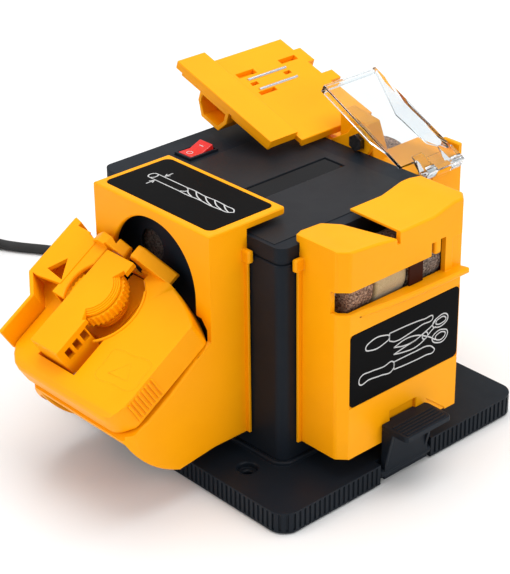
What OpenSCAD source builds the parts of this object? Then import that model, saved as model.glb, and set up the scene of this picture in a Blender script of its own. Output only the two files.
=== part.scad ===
// Bench sharpener for drill bits, knives, scissors and chisels.
// A belt and a shaft carry one motor's turning to three clip-on stations.
// X runs to the knife side, Y to the chisel side, Z up; the origin is under the motor.

/* [Base] */
// Reach of the base beyond the housing on the cord side
base_side = 12.7; // [12:0.5:20]
// Reach of the base beyond the knife station
base_lead = 3.3; // [3:0.1:6]
// Reach of the base beyond the housing's front and rear
base_ends = 32; // [30:1:36]
// Height of the base's top face
base_h = 13; // [12:0.5:15]
// Corner radius of the base
base_r = 10; // [6:1:16]
// Wall of the hollow base
base_wall = 3; // [2.4:0.2:3.6]
// Height of the rubber feet under the rim
foot_h = 1.5; // [1:0.5:2]
// Radius of a rubber foot
foot_r = 7; // [5:0.5:8]
// Half the spacing of the bench screws along X
bench_x = 59.5; // [50:0.5:62]
// Half the spacing of the bench screws along Y
bench_y = 72; // [70:0.5:76]
// Radius of a bench screw hole
bench_hole_r = 2.6; // [2:0.1:3]

/* [Body] */
// Half of the housing's width
body_half_w = 71.3; // [70:0.5:74]
// Half of the housing's depth
body_half_d = 58; // [56:0.5:59]
// Height of the split between housing and lid
rim_z = 130; // [129:0.5:131]
// Height of the lid's top face
lid_z = 139.5; // [138.5:0.5:140]
// Corner radius of the housing
body_r = 6; // [4:0.5:8]
// Wall of every moulded shell
wall = 3; // [2.6:0.1:3.2]

/* [Motor] */
// Height of the motor's axis
axis_z = 104; // [102:0.5:105]
// Radius of the motor's can
can_r = 26; // [24:0.5:28]
// Radius of the motor's shaft
shaft_r = 4; // [3:0.5:5]
// Radius of the drill wheel
drill_wheel_r = 30; // [26:0.5:31]
// Thickness of the drill wheel
drill_wheel_t = 7; // [6:0.5:7]
// Radius of the chisel wheel
chisel_wheel_r = 29; // [26:0.5:30]
// Thickness of the chisel wheel
chisel_wheel_t = 18; // [14:0.5:19]

/* [Stations] */
// Half of a station's width
station_half_w = 46; // [45:0.5:48]
// Height of the stations' lower edge
station_z = 24; // [23:0.5:25]
// Depth of the drill station in front of the housing
drill_depth = 25.2; // [24.6:0.2:27]
// Depth of the knife station beside the housing
knife_depth = 31.4; // [31:0.1:32]
// Depth of the chisel station behind the housing
chisel_depth = 46; // [45:0.5:48]
// Left side of the opening under the drill station's deck
cup_open_x = -27; // [-30:0.5:-20]
// Underside of the saddle over the lid
saddle_z = 142.8; // [142:0.1:143.5]
// Thickness of the saddle
saddle_t = 4.1; // [3.4:0.1:4.6]
// Reach of the saddle's rear edge from the motor's axis
saddle_rear = 31.7; // [30:0.5:36]
// Radius of the arch in the drill station
arch_r = 33; // [31:0.5:34]
// Height of the arch's centre
arch_z = 108; // [107:0.5:108.5]

/* [Drill head] */
// Slope of the head's top face
head_tilt = 32.6; // [31:0.2:34]
// Thickness of the head's slab
head_t = 16.5; // [15:0.5:17]
// Reach of the head to the knife side
head_right = 44.3; // [43:0.1:44.5]
// Reach of the head to the cord side
head_left = 45; // [43:0.5:46]
// Length of the head down the slope
head_l = 67; // [65:0.5:68]
// Radius of the clamp's thumb wheel
thumb_r = 17; // [15:0.5:17.5]
// Half of the clamp bar's width
bar_half_w = 11; // [10:0.5:12]
// Height of the clamp bar above the slope
bar_h = 12; // [11:0.5:13]

/* [Knife wheels] */
// Radius of the knife wheels
knife_wheel_r = 16; // [15:0.25:16.25]
// Height of the knife spindle
knife_z = 115.5; // [115:0.5:116]
// Radius of the knife spindle
knife_shaft_r = 3; // [2.5:0.25:3.5]
// Radius at which the belt runs on both pulleys
pulley_r = 9; // [8:0.5:9.5]

/* [Chisel tray] */
// Slope of the tray towards the wheel
tray_tilt = 18.4; // [18:0.2:19]
// Length of the tray along the slope
tray_l = 82; // [80:0.5:84]
// Width of the tray's raised strip
strip_w = 20.5; // [19:0.5:21]
// Width of the tray's rest plate
plate_w = 54; // [52:0.5:55]

/* [Fits] */
// Radial clearance of a turning fit
run_fit = 0.05; // [0.03:0.01:0.08]
// Gap between pieces that slide past each other
slide_gap = 0.4; // [0.3:0.05:0.6]

/* [Hidden] */
$fn = 64;
orange = [1, 0.66, 0.05];
black = [0.13, 0.14, 0.15];
grey = [0.55, 0.55, 0.56];
steel = [0.75, 0.76, 0.78];

// Outer faces, from the motor's axis
drill_face = body_half_d + drill_depth;
knife_face = body_half_w + knife_depth;
chisel_face = body_half_d + chisel_depth;
base_left = body_half_w + base_side;
base_right = knife_face + base_lead;
base_half_d = body_half_d + base_ends;

// Base
rim_lift = 0.8;
base_top_t = 3;
boss_r = 7;
screw_head_r = 5.5;
screw_head_h = 3.2;
foot_in = 11;
plinth_w = 2.6;
plinth_h = 2.4;

// Latches, each in its own frame: x out of the base's edge, z up
notch_half = 19.4;
notch_d = 5.2;
latch_half = 16.4;
latch_t = 2.8;
latch_pin_r = 1.2;
latch_pin_z = 6;
latch_pin_x = -2.2;
latch_knuckle_r = 2.5;
latch_foot_z = 2.5;
paddle_t = 3;
paddle_half = 17;
knife_latch_z = 35.5;
low_latch_z = 19;
knife_paddle = 15.5;
drill_paddle = 17;
chisel_paddle = 22;
hook_half = 9;
hook_t = 3;
hook_reach = 1.9;
catch_half = 10;

// Body
groove_h = 1.2;
groove_d = 0.8;
lip_t = 2;
lip_h = 4;
window_half = 38.7;
window_low = 100;
window_high = 128;
shaft_hole_r = shaft_r + 3;
post_r = 5;
post_x = body_half_w - wall - post_r + 0.5;
post_y = body_half_d - wall - post_r + 0.5;
screw_r = 1.7;
screw_grip = 18;
cord_y = 40;
cord_z = 26;

// Switch
switch_x = -50.5;
switch_y = -8;
switch_half_w = 7;
switch_half_l = 10.5;
bezel = 1.4;
rocker_half_w = switch_half_w - bezel - 0.4;
rocker_half_l = switch_half_l - bezel - 0.7;
switch_lip = 0.6;
rocker_end_gap = 0.8;
rocker_z = lid_z - 1.5;
rocker_tilt = 10;
rocker_pin_r = 1.2;

// Motor and drive, along Y
can_front = -32;
can_rear = 22;
cap_t = 7;
can_wall = 2;
bearing_r = 11;
pulley_y = 31.3;
pulley_w = 6.6;
belt_t = 2;
belt_w = 5;
fan_front = wall + 4 - body_half_d;
fan_w = 8;
fan_r = 23;
armature_r = 16;
magnet_r = 17.2;
drill_wheel_y = -body_half_d - 1.7;
chisel_wheel_y = 77;
shaft_front = drill_wheel_y - drill_wheel_t - 1.2;
shaft_rear = chisel_wheel_y + chisel_wheel_t + 1.5;
guard_r = station_half_w - wall - 0.6;
guard_t = 1.6;
guard_y = -body_half_d - 12;
guard_front = wall + 0.3 - drill_face;
guard_low = 88;

// Knife spindle
knife_x = knife_face - wall - knife_wheel_r - 1;
coarse_y = [-37.5, -20.5];
felt_y = [-18.5, 3.8];
fine_y = [4.8, 29.8];
bracket_y = [39.4, 42.4];
bracket_r = 8;
spindle_half = 42.6;

// Drill head: origin on the sloping face, y up the slope, z out of it
head_y = -drill_face - 8.6;
head_z = 102.2;
pivot_x = 0;
pivot_s = -55;
pivot_r = 4;
pivot_boss_r = 9;
clamp_x = -15.5;
thumb_s = -14.5;
well_r = 23.8;
well_floor = -9.5;
thumb_low = -6;
thumb_top = bar_h - 3.5;
stud_r = 3;
bar_top = 8.5;
bar_low = -54;
bar_plate = 3;
slot_gap = 1.2;
slot_floor = -12.5;
clamp_travel = 3;
wing_x = -61;
head_corner_r = 12;
deck_gap = 0.5;
deck_t = 2.6;
ridge = 1.2;

// Tray: origin at the strip's upper corner near the lid, x down the slope
tray_x = -14.6;
tray_y = 15;
tray_z = 150.1;
strip_t = 5;
step_d = 2;
plate_t = 3;
tray_travel = 14;

// Knife station
cap_low = 136;

// Chisel station
deck_z = 134.5;
deck_x = 12;
low_deck_z = 125;
low_deck_x = -26;
bridge_z = 134;
bridge_y = 72.6;
horn_z = 142;
horn_l = 13;
arm_y = [body_half_d + 0.3, body_half_d + 3.1];
bolt_x = 10;
bolt_z = 145;
bolt_r = 2.5;
bolt_head_r = 5;
bolt_head_t = 3;
bolt_in = [
    (bolt_x - tray_x) * cos(tray_tilt) - (bolt_z - tray_z) * sin(tray_tilt),
    (bolt_x - tray_x) * sin(tray_tilt) + (bolt_z - tray_z) * cos(tray_tilt)
];
arm_eye_r = 9;
arm_top = -9.6;
arm_low = -15;
tube_x = [-60, -35];
tube_h = [-21, -5];
tube_wall = 2.5;
tube_l = 29;

// Shield: origin at the panel's upper corner on the knife side
shield_x = 45;
shield_z = 141.9;
shield_tilt = 27;
shield_l = 67;
shield_y = [55, 96];
shield_t = 2;
shield_drop = 12;
hinge_y = [68, 97];
hinge_x = station_half_w + 3.2;
hinge_z = 133.5;
hinge_in = [
    (hinge_x - shield_x) * cos(shield_tilt) - (hinge_z - shield_z) * sin(shield_tilt),
    (hinge_x - shield_x) * sin(shield_tilt) + (hinge_z - shield_z) * cos(shield_tilt)
];
shield_pin_r = 1.5;
knuckle_r = 2.9;
hinge_mid = [76.6, 88.4];

// Cord: centre line from the relief to the coil
cord_r = 3.25;
cord_sides = 8;
coil_x = -300;
coil_y = -48;
coil_radii = [30, 36.5, 43];
relief_l = 32;
plug_z = 9;
plug_half_w = 17;
plug_l = 34;
CORD = [
    [-103.3, 40, 26], [-112.6, 40, 25.3], [-121.7, 39.9, 23.1], [-130.3, 39.8, 19.5],
    [-138.3, 39.6, 14.6], [-146.3, 39.3, 9.7], [-154.9, 38.8, 6.2], [-164, 38.2, 4],
    [-173.3, 37.4, 3.25], [-187, 35.5, 3.25], [-200, 32.5, 3.25], [-212.5, 28.4, 3.25],
    [-224, 23.6, 3.25], [-235, 18, 3.25], [-245, 11.3, 3.25], [-255, 4.8, 3.25],
    [-266, -0.4, 3.25], [-278, -3.6, 3.25], [-290, -4.8, 3.25]
];

// ---- helpers ----

module plan(x0, x1, y0, y1, r) {
    translate([x0 + r, y0]) square([x1 - x0 - 2 * r, y1 - y0]);
    translate([x0, y0 + r]) square([x1 - x0, y1 - y0 - 2 * r]);
    for (x = [x0 + r, x1 - r], y = [y0 + r, y1 - r]) translate([x, y]) circle(r);
}

module slab(x0, x1, y0, y1, z0, z1, r = 0) {
    translate([0, 0, z0]) linear_extrude(z1 - z0)
        if (r > 0) plan(x0, x1, y0, y1, r);
        else translate([x0, y0]) square([x1 - x0, y1 - y0]);
}

// A cylinder along Y between two places
module along_y(x, z, y0, y1, r) {
    translate([x, y0, z]) rotate([-90, 0, 0]) cylinder(r = r, h = y1 - y0);
}

module ring_y(x, z, y0, y1, r_out, r_in) {
    difference() {
        along_y(x, z, y0, y1, r_out);
        along_y(x, z, y0 - 1, y1 + 1, r_in);
    }
}

// Extrudes an outline drawn in (y, z) along X
module along_x(x0, x1) {
    translate([x0, 0, 0]) rotate([90, 0, 90]) linear_extrude(x1 - x0) children();
}

// Extrudes an outline drawn in (x, z) along Y
module across_y(y0, y1) {
    translate([0, y1, 0]) rotate([90, 0, 0]) linear_extrude(y1 - y0) children();
}

function arc(cx, cy, r, a0, a1, n) = [for (i = [0:n]) let (a = a0 + (a1 - a0) * i / n) [cx + r * cos(a), cy + r * sin(a)]];

module in_head() { translate([0, head_y, head_z]) rotate([head_tilt, 0, 0]) children(); }

module in_tray() { translate([tray_x, tray_y, tray_z]) rotate([0, tray_tilt, 0]) children(); }

module in_shield() { translate([shield_x, 0, shield_z]) rotate([0, shield_tilt, 0]) children(); }

// The three latch frames
module at_edge(side) {
    if (side == "knife") translate([base_right, 0, 0]) children();
    if (side == "drill") rotate([0, 0, -90]) translate([base_half_d, 0, 0]) children();
    if (side == "chisel") rotate([0, 0, 90]) translate([base_half_d, 0, 0]) children();
}
sides = ["knife", "drill", "chisel"];

module at_bench_holes() {
    for (x = [-bench_x, bench_x], y = [-bench_y, bench_y]) translate([x, y, 0]) children();
}

module at_feet() {
    for (x = [foot_in - base_left, base_right - foot_in], y = [-1, 1])
        translate([x, y * (base_half_d - foot_in), 0]) children();
}

module at_posts() {
    for (x = [-post_x, post_x], y = [-post_y, post_y]) translate([x, y, 0]) children();
}

// ---- base ----

module latch_block() {
    slab(-notch_d - base_wall, 0, -notch_half - base_wall, notch_half + base_wall, rim_lift, base_h);
}

module base_plate() color(black) difference() {
    union() {
        difference() {
            translate([0, 0, rim_lift]) linear_extrude(base_h - rim_lift)
                plan(-base_left, base_right, -base_half_d, base_half_d, base_r);
            translate([0, 0, rim_lift - 1]) linear_extrude(base_h - base_top_t - rim_lift + 1)
                plan(base_wall - base_left, base_right - base_wall, base_wall - base_half_d,
                    base_half_d - base_wall, base_r - base_wall);
        }
        at_bench_holes() cylinder(r = boss_r, h = base_h - 1);
        at_feet() translate([0, 0, foot_h]) cylinder(r = foot_r, h = base_h - foot_h - 1);
        for (side = sides) at_edge(side) latch_block();
        difference() {
            slab(-body_half_w - plinth_w, body_half_w + plinth_w, -body_half_d - plinth_w,
                body_half_d + plinth_w, base_h - 1, base_h + plinth_h, body_r + plinth_w);
            slab(-body_half_w, body_half_w, -body_half_d, body_half_d, base_h, base_h + plinth_h + 1, body_r);
        }
    }
    at_bench_holes() {
        translate([0, 0, -1]) cylinder(r = bench_hole_r, h = base_h + 2);
        translate([0, 0, base_h - screw_head_h]) cylinder(r = screw_head_r, h = screw_head_h + 1);
    }
    at_posts() cylinder(r = screw_r + 0.2, h = base_h + 1);
    for (side = sides) at_edge(side) {
        slab(-notch_d, 1, -notch_half, notch_half, -1, base_h + plinth_h + 1);
        along_y(latch_pin_x, latch_pin_z, -notch_half - base_wall - 1, notch_half + base_wall + 1, latch_pin_r);
    }
}

module rubber_feet() color([0.2, 0.2, 0.2]) at_feet() cylinder(r = foot_r, h = foot_h);

module latch_pins() color(steel) for (side = sides) at_edge(side)
    along_y(latch_pin_x, latch_pin_z, -notch_half - base_wall + 0.5, notch_half + base_wall - 0.5, latch_pin_r);

module latch(top, paddle, grip = paddle_half) difference() {
    union() {
        slab(-latch_t, 0, -latch_half, latch_half, latch_foot_z, top);
        slab(-latch_t, paddle, -grip, grip, top - paddle_t, top, 2);
        for (x = [3:2.4:paddle - 2.5]) slab(x, x + 1.1, -grip + 2, grip - 2, top - 1, top + 0.5);
        slab(-latch_t - hook_reach, 0, -hook_half, hook_half, top - hook_t, top);
        along_y(latch_pin_x, latch_pin_z, slide_gap - notch_half, notch_half - slide_gap, latch_knuckle_r);
        for (y = [-latch_half, latch_half - 2]) translate([0, y, 0]) across_y(0, 2)
            polygon([[-1, latch_foot_z + 8], [0, latch_foot_z + 8], [5, top - paddle_t], [5, top - 1], [-1, top - 1]]);
    }
    along_y(latch_pin_x, latch_pin_z, -notch_half, notch_half, latch_pin_r + run_fit);
}

module knife_latch() color(black) at_edge("knife") latch(knife_latch_z, knife_paddle);
module drill_latch() color(black) at_edge("drill") latch(low_latch_z, drill_paddle, -cup_open_x - 1);
module chisel_latch() color(black) at_edge("chisel") latch(low_latch_z, chisel_paddle);

// A lug under a station with the pocket that a low latch hooks into
module low_catch(face_gap) difference() {
    slab(-8.4, -face_gap, -catch_half - 2, catch_half + 2, base_h + 0.3, station_z + 1);
    slab(-5.4, 0, -hook_half - slide_gap, hook_half + slide_gap,
        low_latch_z - hook_t - slide_gap, low_latch_z + slide_gap + 0.5);
}

// ---- body ----

module body_housing() color(black) difference() {
    union() {
        difference() {
            slab(-body_half_w, body_half_w, -body_half_d, body_half_d, base_h, rim_z, body_r);
            slab(wall - body_half_w, body_half_w - wall, wall - body_half_d, body_half_d - wall,
                base_h - 1, rim_z + 1, body_r - wall);
        }
        at_posts() translate([0, 0, base_h]) cylinder(r = post_r, h = rim_z - lip_h - base_h - 1);
        along_y(0, axis_z, body_half_d - wall - 5.5, body_half_d - 1, bearing_r + wall);
    }
    at_posts() translate([0, 0, base_h - 1]) cylinder(r = screw_r, h = screw_grip + 2);
    along_y(0, axis_z, -body_half_d - 1, body_half_d + 1, shaft_hole_r);
    along_y(0, axis_z, body_half_d - wall - 10, body_half_d - 1.5, bearing_r);
    slab(body_half_w - wall - 1, body_half_w + 1, -window_half, window_half, window_low, window_high);
    translate([-body_half_w - 1, cord_y, cord_z]) rotate([0, 90, 0]) cylinder(r = cord_r + 1.6, h = wall + 2);
    for (z = [40:7:82], y = [-28, 4]) slab(-body_half_w - 1, wall + 1 - body_half_w, y - 12, y + 12, z, z + 3);
}

module housing_screws() color(steel) at_posts() {
    translate([0, 0, base_h - base_top_t]) cylinder(r = screw_r, h = screw_grip);
    translate([0, 0, base_h - base_top_t - 2.4]) cylinder(r = 3.2, h = 2.4);
}

module body_lid() color(black) difference() {
    union() {
        slab(groove_d - body_half_w, body_half_w - groove_d, groove_d - body_half_d, body_half_d - groove_d,
            rim_z, rim_z + groove_h, body_r - groove_d);
        slab(-body_half_w, body_half_w, -body_half_d, body_half_d, rim_z + groove_h, lid_z, body_r);
        slab(wall + 0.2 - body_half_w, body_half_w - wall - 0.2, wall + 0.2 - body_half_d,
            body_half_d - wall - 0.2, rim_z - lip_h, rim_z + 1, body_r - wall);
    }
    slab(wall + lip_t - body_half_w, body_half_w - wall - lip_t, wall + lip_t - body_half_d,
        body_half_d - wall - lip_t, rim_z - lip_h - 1, lid_z - wall, 2);
    slab(switch_x - switch_half_w + switch_lip, switch_x + switch_half_w - switch_lip,
        switch_y - switch_half_l + switch_lip, switch_y + switch_half_l - switch_lip, rim_z, lid_z + 1);
    slab(4, 19.6, -40, 38, lid_z - 1, lid_z + 1);
}

module lid_inlay() color([0.06, 0.06, 0.07]) slab(4.2, 19.4, -39.8, 37.8, lid_z - 1, lid_z - 0.3, 0.5);

module strain_relief() color([0.1, 0.1, 0.1]) translate([0, cord_y, cord_z]) rotate([0, -90, 0]) {
    translate([0, 0, body_half_w - wall - 1.5]) cylinder(r = cord_r + 3.6, h = 1.5);
    translate([0, 0, body_half_w - wall - 1]) cylinder(r = cord_r + 1.6, h = wall + 2);
    translate([0, 0, body_half_w]) cylinder(r = cord_r + 3.4, h = 3);
    translate([0, 0, body_half_w + 2]) cylinder(r = cord_r, h = relief_l - 2);
    for (i = [0:5]) translate([0, 0, body_half_w + 2.5 + i * (relief_l - 3) / 6])
        cylinder(r = cord_r + 2.9 - 0.45 * i, h = (relief_l - 3) / 6 - (i % 2) * 0.6);
}

// ---- switch ----

module switch_housing() color([0.08, 0.08, 0.09]) difference() {
    union() {
        slab(switch_x - switch_half_w, switch_x + switch_half_w, switch_y - switch_half_l,
            switch_y + switch_half_l, lid_z, lid_z + 1.4, 1);
        slab(switch_x - switch_half_w + switch_lip + 0.1, switch_x + switch_half_w - switch_lip - 0.1,
            switch_y - switch_half_l + switch_lip + 0.1, switch_y + switch_half_l - switch_lip - 0.1,
            lid_z - 15, lid_z + 0.5);
    }
    slab(switch_x - rocker_half_w - slide_gap, switch_x + rocker_half_w + slide_gap,
        switch_y - rocker_half_l - rocker_end_gap, switch_y + rocker_half_l + rocker_end_gap, rocker_z - 6, lid_z + 2);
    translate([switch_x - rocker_half_w - 2, switch_y, rocker_z]) rotate([0, 90, 0])
        cylinder(r = rocker_pin_r + run_fit, h = 2 * rocker_half_w + 4);
}

module rocker_button() color([0.85, 0.07, 0.06]) translate([switch_x, switch_y, rocker_z]) {
    rotate([rocker_tilt, 0, 0]) along_x(-rocker_half_w, rocker_half_w)
        polygon([[-rocker_half_l, -0.6], [-3, -4], [3, -4], [rocker_half_l, -0.6],
            [rocker_half_l - 0.2, 4.4], [0, 2.8], [0.2 - rocker_half_l, 4.4]]);
    translate([-rocker_half_w - 0.9, 0, 0]) rotate([0, 90, 0]) cylinder(r = rocker_pin_r, h = 2 * rocker_half_w + 1.8);
}

// ---- motor ----

module motor_mount() color(grey) {
    slab(-30, 30, can_front + 2, can_rear - 2, base_h, base_h + 3, 3);
    for (y = [can_front + 4, can_rear - 10]) difference() {
        slab(-can_r + 2, can_r - 2, y, y + 6, base_h + 2, axis_z - 10);
        along_y(0, axis_z, y - 1, y + 7, can_r);
    }
}

module motor_strap() color(steel) for (y = [can_front + 4, can_rear - 10]) difference() {
    union() {
        ring_y(0, axis_z, y, y + 6, can_r + 1.2, can_r);
    }
    slab(-can_r + 2, can_r - 2, y - 1, y + 7, axis_z - can_r - 3, axis_z - 10);
}

module motor_can() color(grey) ring_y(0, axis_z, can_front, can_rear, can_r, can_r - can_wall);

module end_cap(y0, y1, pocket0, pocket1) difference() {
    along_y(0, axis_z, y0, y1, can_r);
    along_y(0, axis_z, y0 - 1, y1 + 1, shaft_hole_r);
    along_y(0, axis_z, pocket0, pocket1, bearing_r);
}
module front_end_cap() color(steel) end_cap(can_front - cap_t, can_front, can_front - cap_t + 1.5, can_front + 1);
module rear_end_cap() color(steel) end_cap(can_rear, can_rear + cap_t, can_rear - 1, can_rear + cap_t - 1.5);

module field_magnets() color([0.25, 0.25, 0.27]) intersection() {
    ring_y(0, axis_z, can_front + 5, can_rear - 12, can_r - can_wall, magnet_r);
    union() for (a = [0, 180]) translate([0, 0, axis_z]) rotate([0, a, 0])
        across_y(can_front, can_rear) polygon([[0, 0], [can_r, can_r * 1.2], [can_r * 2, 0], [can_r, -can_r * 1.2]]);
}

module bearing(y0, y1) ring_y(0, axis_z, y0, y1, bearing_r, shaft_r + run_fit);
module front_bearing() color(steel) bearing(can_front - cap_t + 1.5, can_front);
module rear_bearing() color(steel) bearing(can_rear, can_rear + cap_t - 1.5);
module wall_bearing() color(steel) bearing(body_half_d - wall - 5.5, body_half_d - 1.5);

module motor_shaft() color(steel) along_y(0, axis_z, shaft_front, shaft_rear, shaft_r);

module armature_core() color([0.45, 0.3, 0.2]) ring_y(0, axis_z, can_front + 6, can_rear - 13, armature_r, shaft_r);
module commutator() color([0.7, 0.45, 0.25]) ring_y(0, axis_z, can_rear - 11, can_rear - 3, 9, shaft_r);

module cooling_fan() color([0.9, 0.9, 0.88]) {
    ring_y(0, axis_z, fan_front, fan_front + fan_w, 8, shaft_r);
    ring_y(0, axis_z, fan_front, fan_front + 1.6, fan_r, 7);
    translate([0, fan_front + 1, axis_z]) rotate([-90, 0, 0]) for (i = [0:9]) rotate([0, 0, i * 36])
        slab(7.5, fan_r, -0.8, 0.8, 0, fan_w - 1);
}

module drill_wheel() color([0.5, 0.47, 0.44])
    ring_y(0, axis_z, drill_wheel_y - drill_wheel_t, drill_wheel_y, drill_wheel_r, shaft_r);
module chisel_wheel() color([0.5, 0.42, 0.4])
    ring_y(0, axis_z, chisel_wheel_y, chisel_wheel_y + chisel_wheel_t, chisel_wheel_r, shaft_r);

module pulley(x, z, bore) difference() {
    union() {
        along_y(x, z, pulley_y, pulley_y + pulley_w, pulley_r);
        for (y = [pulley_y, pulley_y + pulley_w - 0.7]) along_y(x, z, y, y + 0.7, pulley_r + 1.6);
    }
    along_y(x, z, pulley_y - 1, pulley_y + pulley_w + 1, bore);
}
module drive_pulley() color(steel) pulley(0, axis_z, shaft_r);
module driven_pulley() color(steel) pulley(knife_x, knife_z, knife_shaft_r);

// The belt's outline round both pulleys, grown by a margin
function belt_outline(grow) = let (
    lean = atan2(knife_z - axis_z, knife_x), r = pulley_r + grow)
    concat(arc(0, axis_z, r, lean + 90, lean + 270, 24), arc(knife_x, knife_z, r, lean - 90, lean + 90, 24));

module drive_belt() color([0.15, 0.15, 0.15])
    across_y(pulley_y + (pulley_w - belt_w) / 2, pulley_y + (pulley_w + belt_w) / 2) difference() {
        polygon(belt_outline(run_fit + belt_t));
        polygon(belt_outline(run_fit));
    }

// ---- knife spindle ----

module knife_spindle() color(steel) along_y(knife_x, knife_z, -spindle_half, spindle_half, knife_shaft_r);
module knife_wheel(span) ring_y(knife_x, knife_z, span[0], span[1], knife_wheel_r, knife_shaft_r);
module coarse_knife_wheel() color([0.55, 0.42, 0.38]) knife_wheel(coarse_y);
module felt_knife_wheel() color([0.75, 0.65, 0.5]) knife_wheel(felt_y);
module fine_knife_wheel() color([0.55, 0.42, 0.38]) knife_wheel(fine_y);

module spindle_brackets() color(steel) for (side = [-1, 1]) {
    y0 = side < 0 ? -bracket_y[1] : bracket_y[0];
    difference() {
        union() {
            along_y(knife_x, knife_z, y0, y0 + 3, bracket_r);
            slab(body_half_w, knife_x, y0, y0 + 3, knife_z - bracket_r, knife_z + bracket_r);
        }
        along_y(knife_x, knife_z, y0 - 1, y0 + 4, knife_shaft_r + run_fit);
    }
}

// ---- drill station ----

// The cup's side outline in (y, z), with y = 0 on the station's front face
function cup_outline() = concat(
    [[0.5, station_z], [0.5, 87.5], [-9.8, 81.2], [-27.8, 67.5], [-42.4, 58.5], [-52.2, 53.9]],
    arc(-0.9, 79.4, 62.7, 204, 249, 9));

// Moves each side of an outline inwards; the points run clockwise
function inset(p, d) = [for (i = [0:len(p) - 1]) let (
    a = p[(i + len(p) - 1) % len(p)], b = p[i], c = p[(i + 1) % len(p)],
    u = (b - a) / norm(b - a), v = (c - b) / norm(c - b),
    m = [u[1] + v[1], -u[0] - v[0]]) b + m * d / (1 + u * v)];

module cup_solid(d) translate([0, -drill_face, 0]) intersection() {
    along_x(d - station_half_w, station_half_w - d) polygon(d > 0 ? inset(cup_outline(), d) : cup_outline());
    translate([0, 0, station_z - 10]) linear_extrude(120) {
        corner_l = 28 - d;
        corner_r = 12 - d;
        front = -59.8 + d;
        side = station_half_w - d;
        translate([-side, front + corner_l]) square([2 * side, 70]);
        translate([corner_l - side, front]) square([2 * side - corner_l - corner_r, 70]);
        translate([corner_l - side, front + corner_l]) circle(corner_l);
        translate([side - corner_r, front + corner_r]) circle(corner_r);
        translate([side - corner_r - 1, front + corner_r]) square([corner_r + 1, 70]);
    }
}

module arch_plan() {
    translate([1, arch_z]) circle(arch_r);
    translate([1 - arch_r, 90]) square([2 * arch_r, arch_z - 90]);
}

module drill_station() color(orange) difference() {
    union() {
        difference() {
            slab(-station_half_w, station_half_w, -drill_face, -body_half_d, station_z, saddle_z + 1);
            slab(wall - station_half_w, station_half_w - wall, wall - drill_face, -body_half_d + 1,
                station_z + wall, saddle_z);
            across_y(-drill_face - 1, wall + 1 - drill_face) arch_plan();
            slab(wall - station_half_w, station_half_w - wall, -drill_face - 1, wall + 1 - drill_face, 84, 98);
        }
        difference() {
            cup_solid(0);
            cup_solid(wall);
            in_head() slab(wall - station_half_w, station_half_w - wall, -75, 20, -head_t - deck_gap, 20);
            slab(cup_open_x, station_half_w - wall, -drill_face - 70, -drill_face - 1, station_z - 5, 100);
        }
        intersection() {
            cup_solid(0);
            slab(cup_open_x - wall, cup_open_x, -drill_face - 70, 1 - drill_face, station_z - 5, 100);
            in_head() slab(-60, 0, -75, 20, -90, -head_t - deck_gap);
        }
        intersection() {
            cup_solid(0);
            in_head() slab(wall - station_half_w - 1, station_half_w - wall + 1, -75, -2,
                -head_t - deck_gap - deck_t, -head_t - deck_gap);
        }
        in_head() translate([pivot_x, pivot_s, -head_t - deck_gap - 14]) cylinder(r = pivot_boss_r, h = 14);
        slab(-station_half_w, station_half_w, -drill_face, -saddle_rear, saddle_z, saddle_z + saddle_t);
        for (x = [-station_half_w - 5.5, station_half_w])
            slab(x, x + 5.5, -body_half_d - 4, -body_half_d - 0.4, 126, 133);
        at_edge("drill") low_catch(3.4);
    }
    drill_label_plan(0.2, saddle_z + saddle_t - 0.5, 1.5);
    in_head() translate([pivot_x, pivot_s, -head_t - deck_gap - 13]) cylinder(r = pivot_r, h = 20);
}

module drill_label_plan(grow, z, t) slab(3.8 - station_half_w - grow, station_half_w - 4.3 + grow,
    4.2 - drill_face - grow, grow - saddle_rear - 3.3, z, z + t, 4);

module drill_label() color([0.05, 0.05, 0.06]) drill_label_plan(0, saddle_z + saddle_t - 0.5, 0.6);

module drill_wheel_guard() color([0.06, 0.06, 0.06]) difference() {
    intersection() {
        along_y(0, axis_z, guard_front, -body_half_d, guard_r);
        union() {
            slab(-60, 60, guard_y, -body_half_d, 0, saddle_z - slide_gap);
            slab(-60, 60, guard_front, guard_y + 1, guard_low, saddle_z - slide_gap);
        }
    }
    along_y(0, axis_z, guard_front - 1, guard_y, guard_r - guard_t);
    along_y(0, axis_z, guard_y + guard_t, -body_half_d + 1, guard_r - guard_t);
    along_y(clamp_x, axis_z + 12, guard_y - 1, guard_y + guard_t + 1, 9);
}

module head_pivot_pin() color(steel) in_head() translate([pivot_x, pivot_s, -head_t - deck_gap - 13])
    cylinder(r = pivot_r, h = head_t + 8);

function head_plan() = concat(
    arc(head_right - head_corner_r, head_corner_r - head_l, head_corner_r, -90, 0, 10),
    arc(0, -60, 72.5, 52.3, 88.4, 8),
    [[-23, 12.6], [-23, 0], [4 - head_left, -1], [-head_left - 1, -8], [-head_left - 1, 9 - head_l], [5 - head_left, 1.5 - head_l]],
    [[9 - head_left, -head_l]]);

// The open wall round the head's grip, drawn from outside to inside
module head_walls() polygon([
    [-45, 13.2], [wing_x - 1, 16.6], [wing_x - 1.2, -22.5], [-49.2, -33.5], [-49.2, -59],
    [-46.8, -59], [-46.8, -32.4], [wing_x + 1.2, -21.4], [wing_x + 1.4, 13.6], [-45, 10.2]
]);

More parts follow.
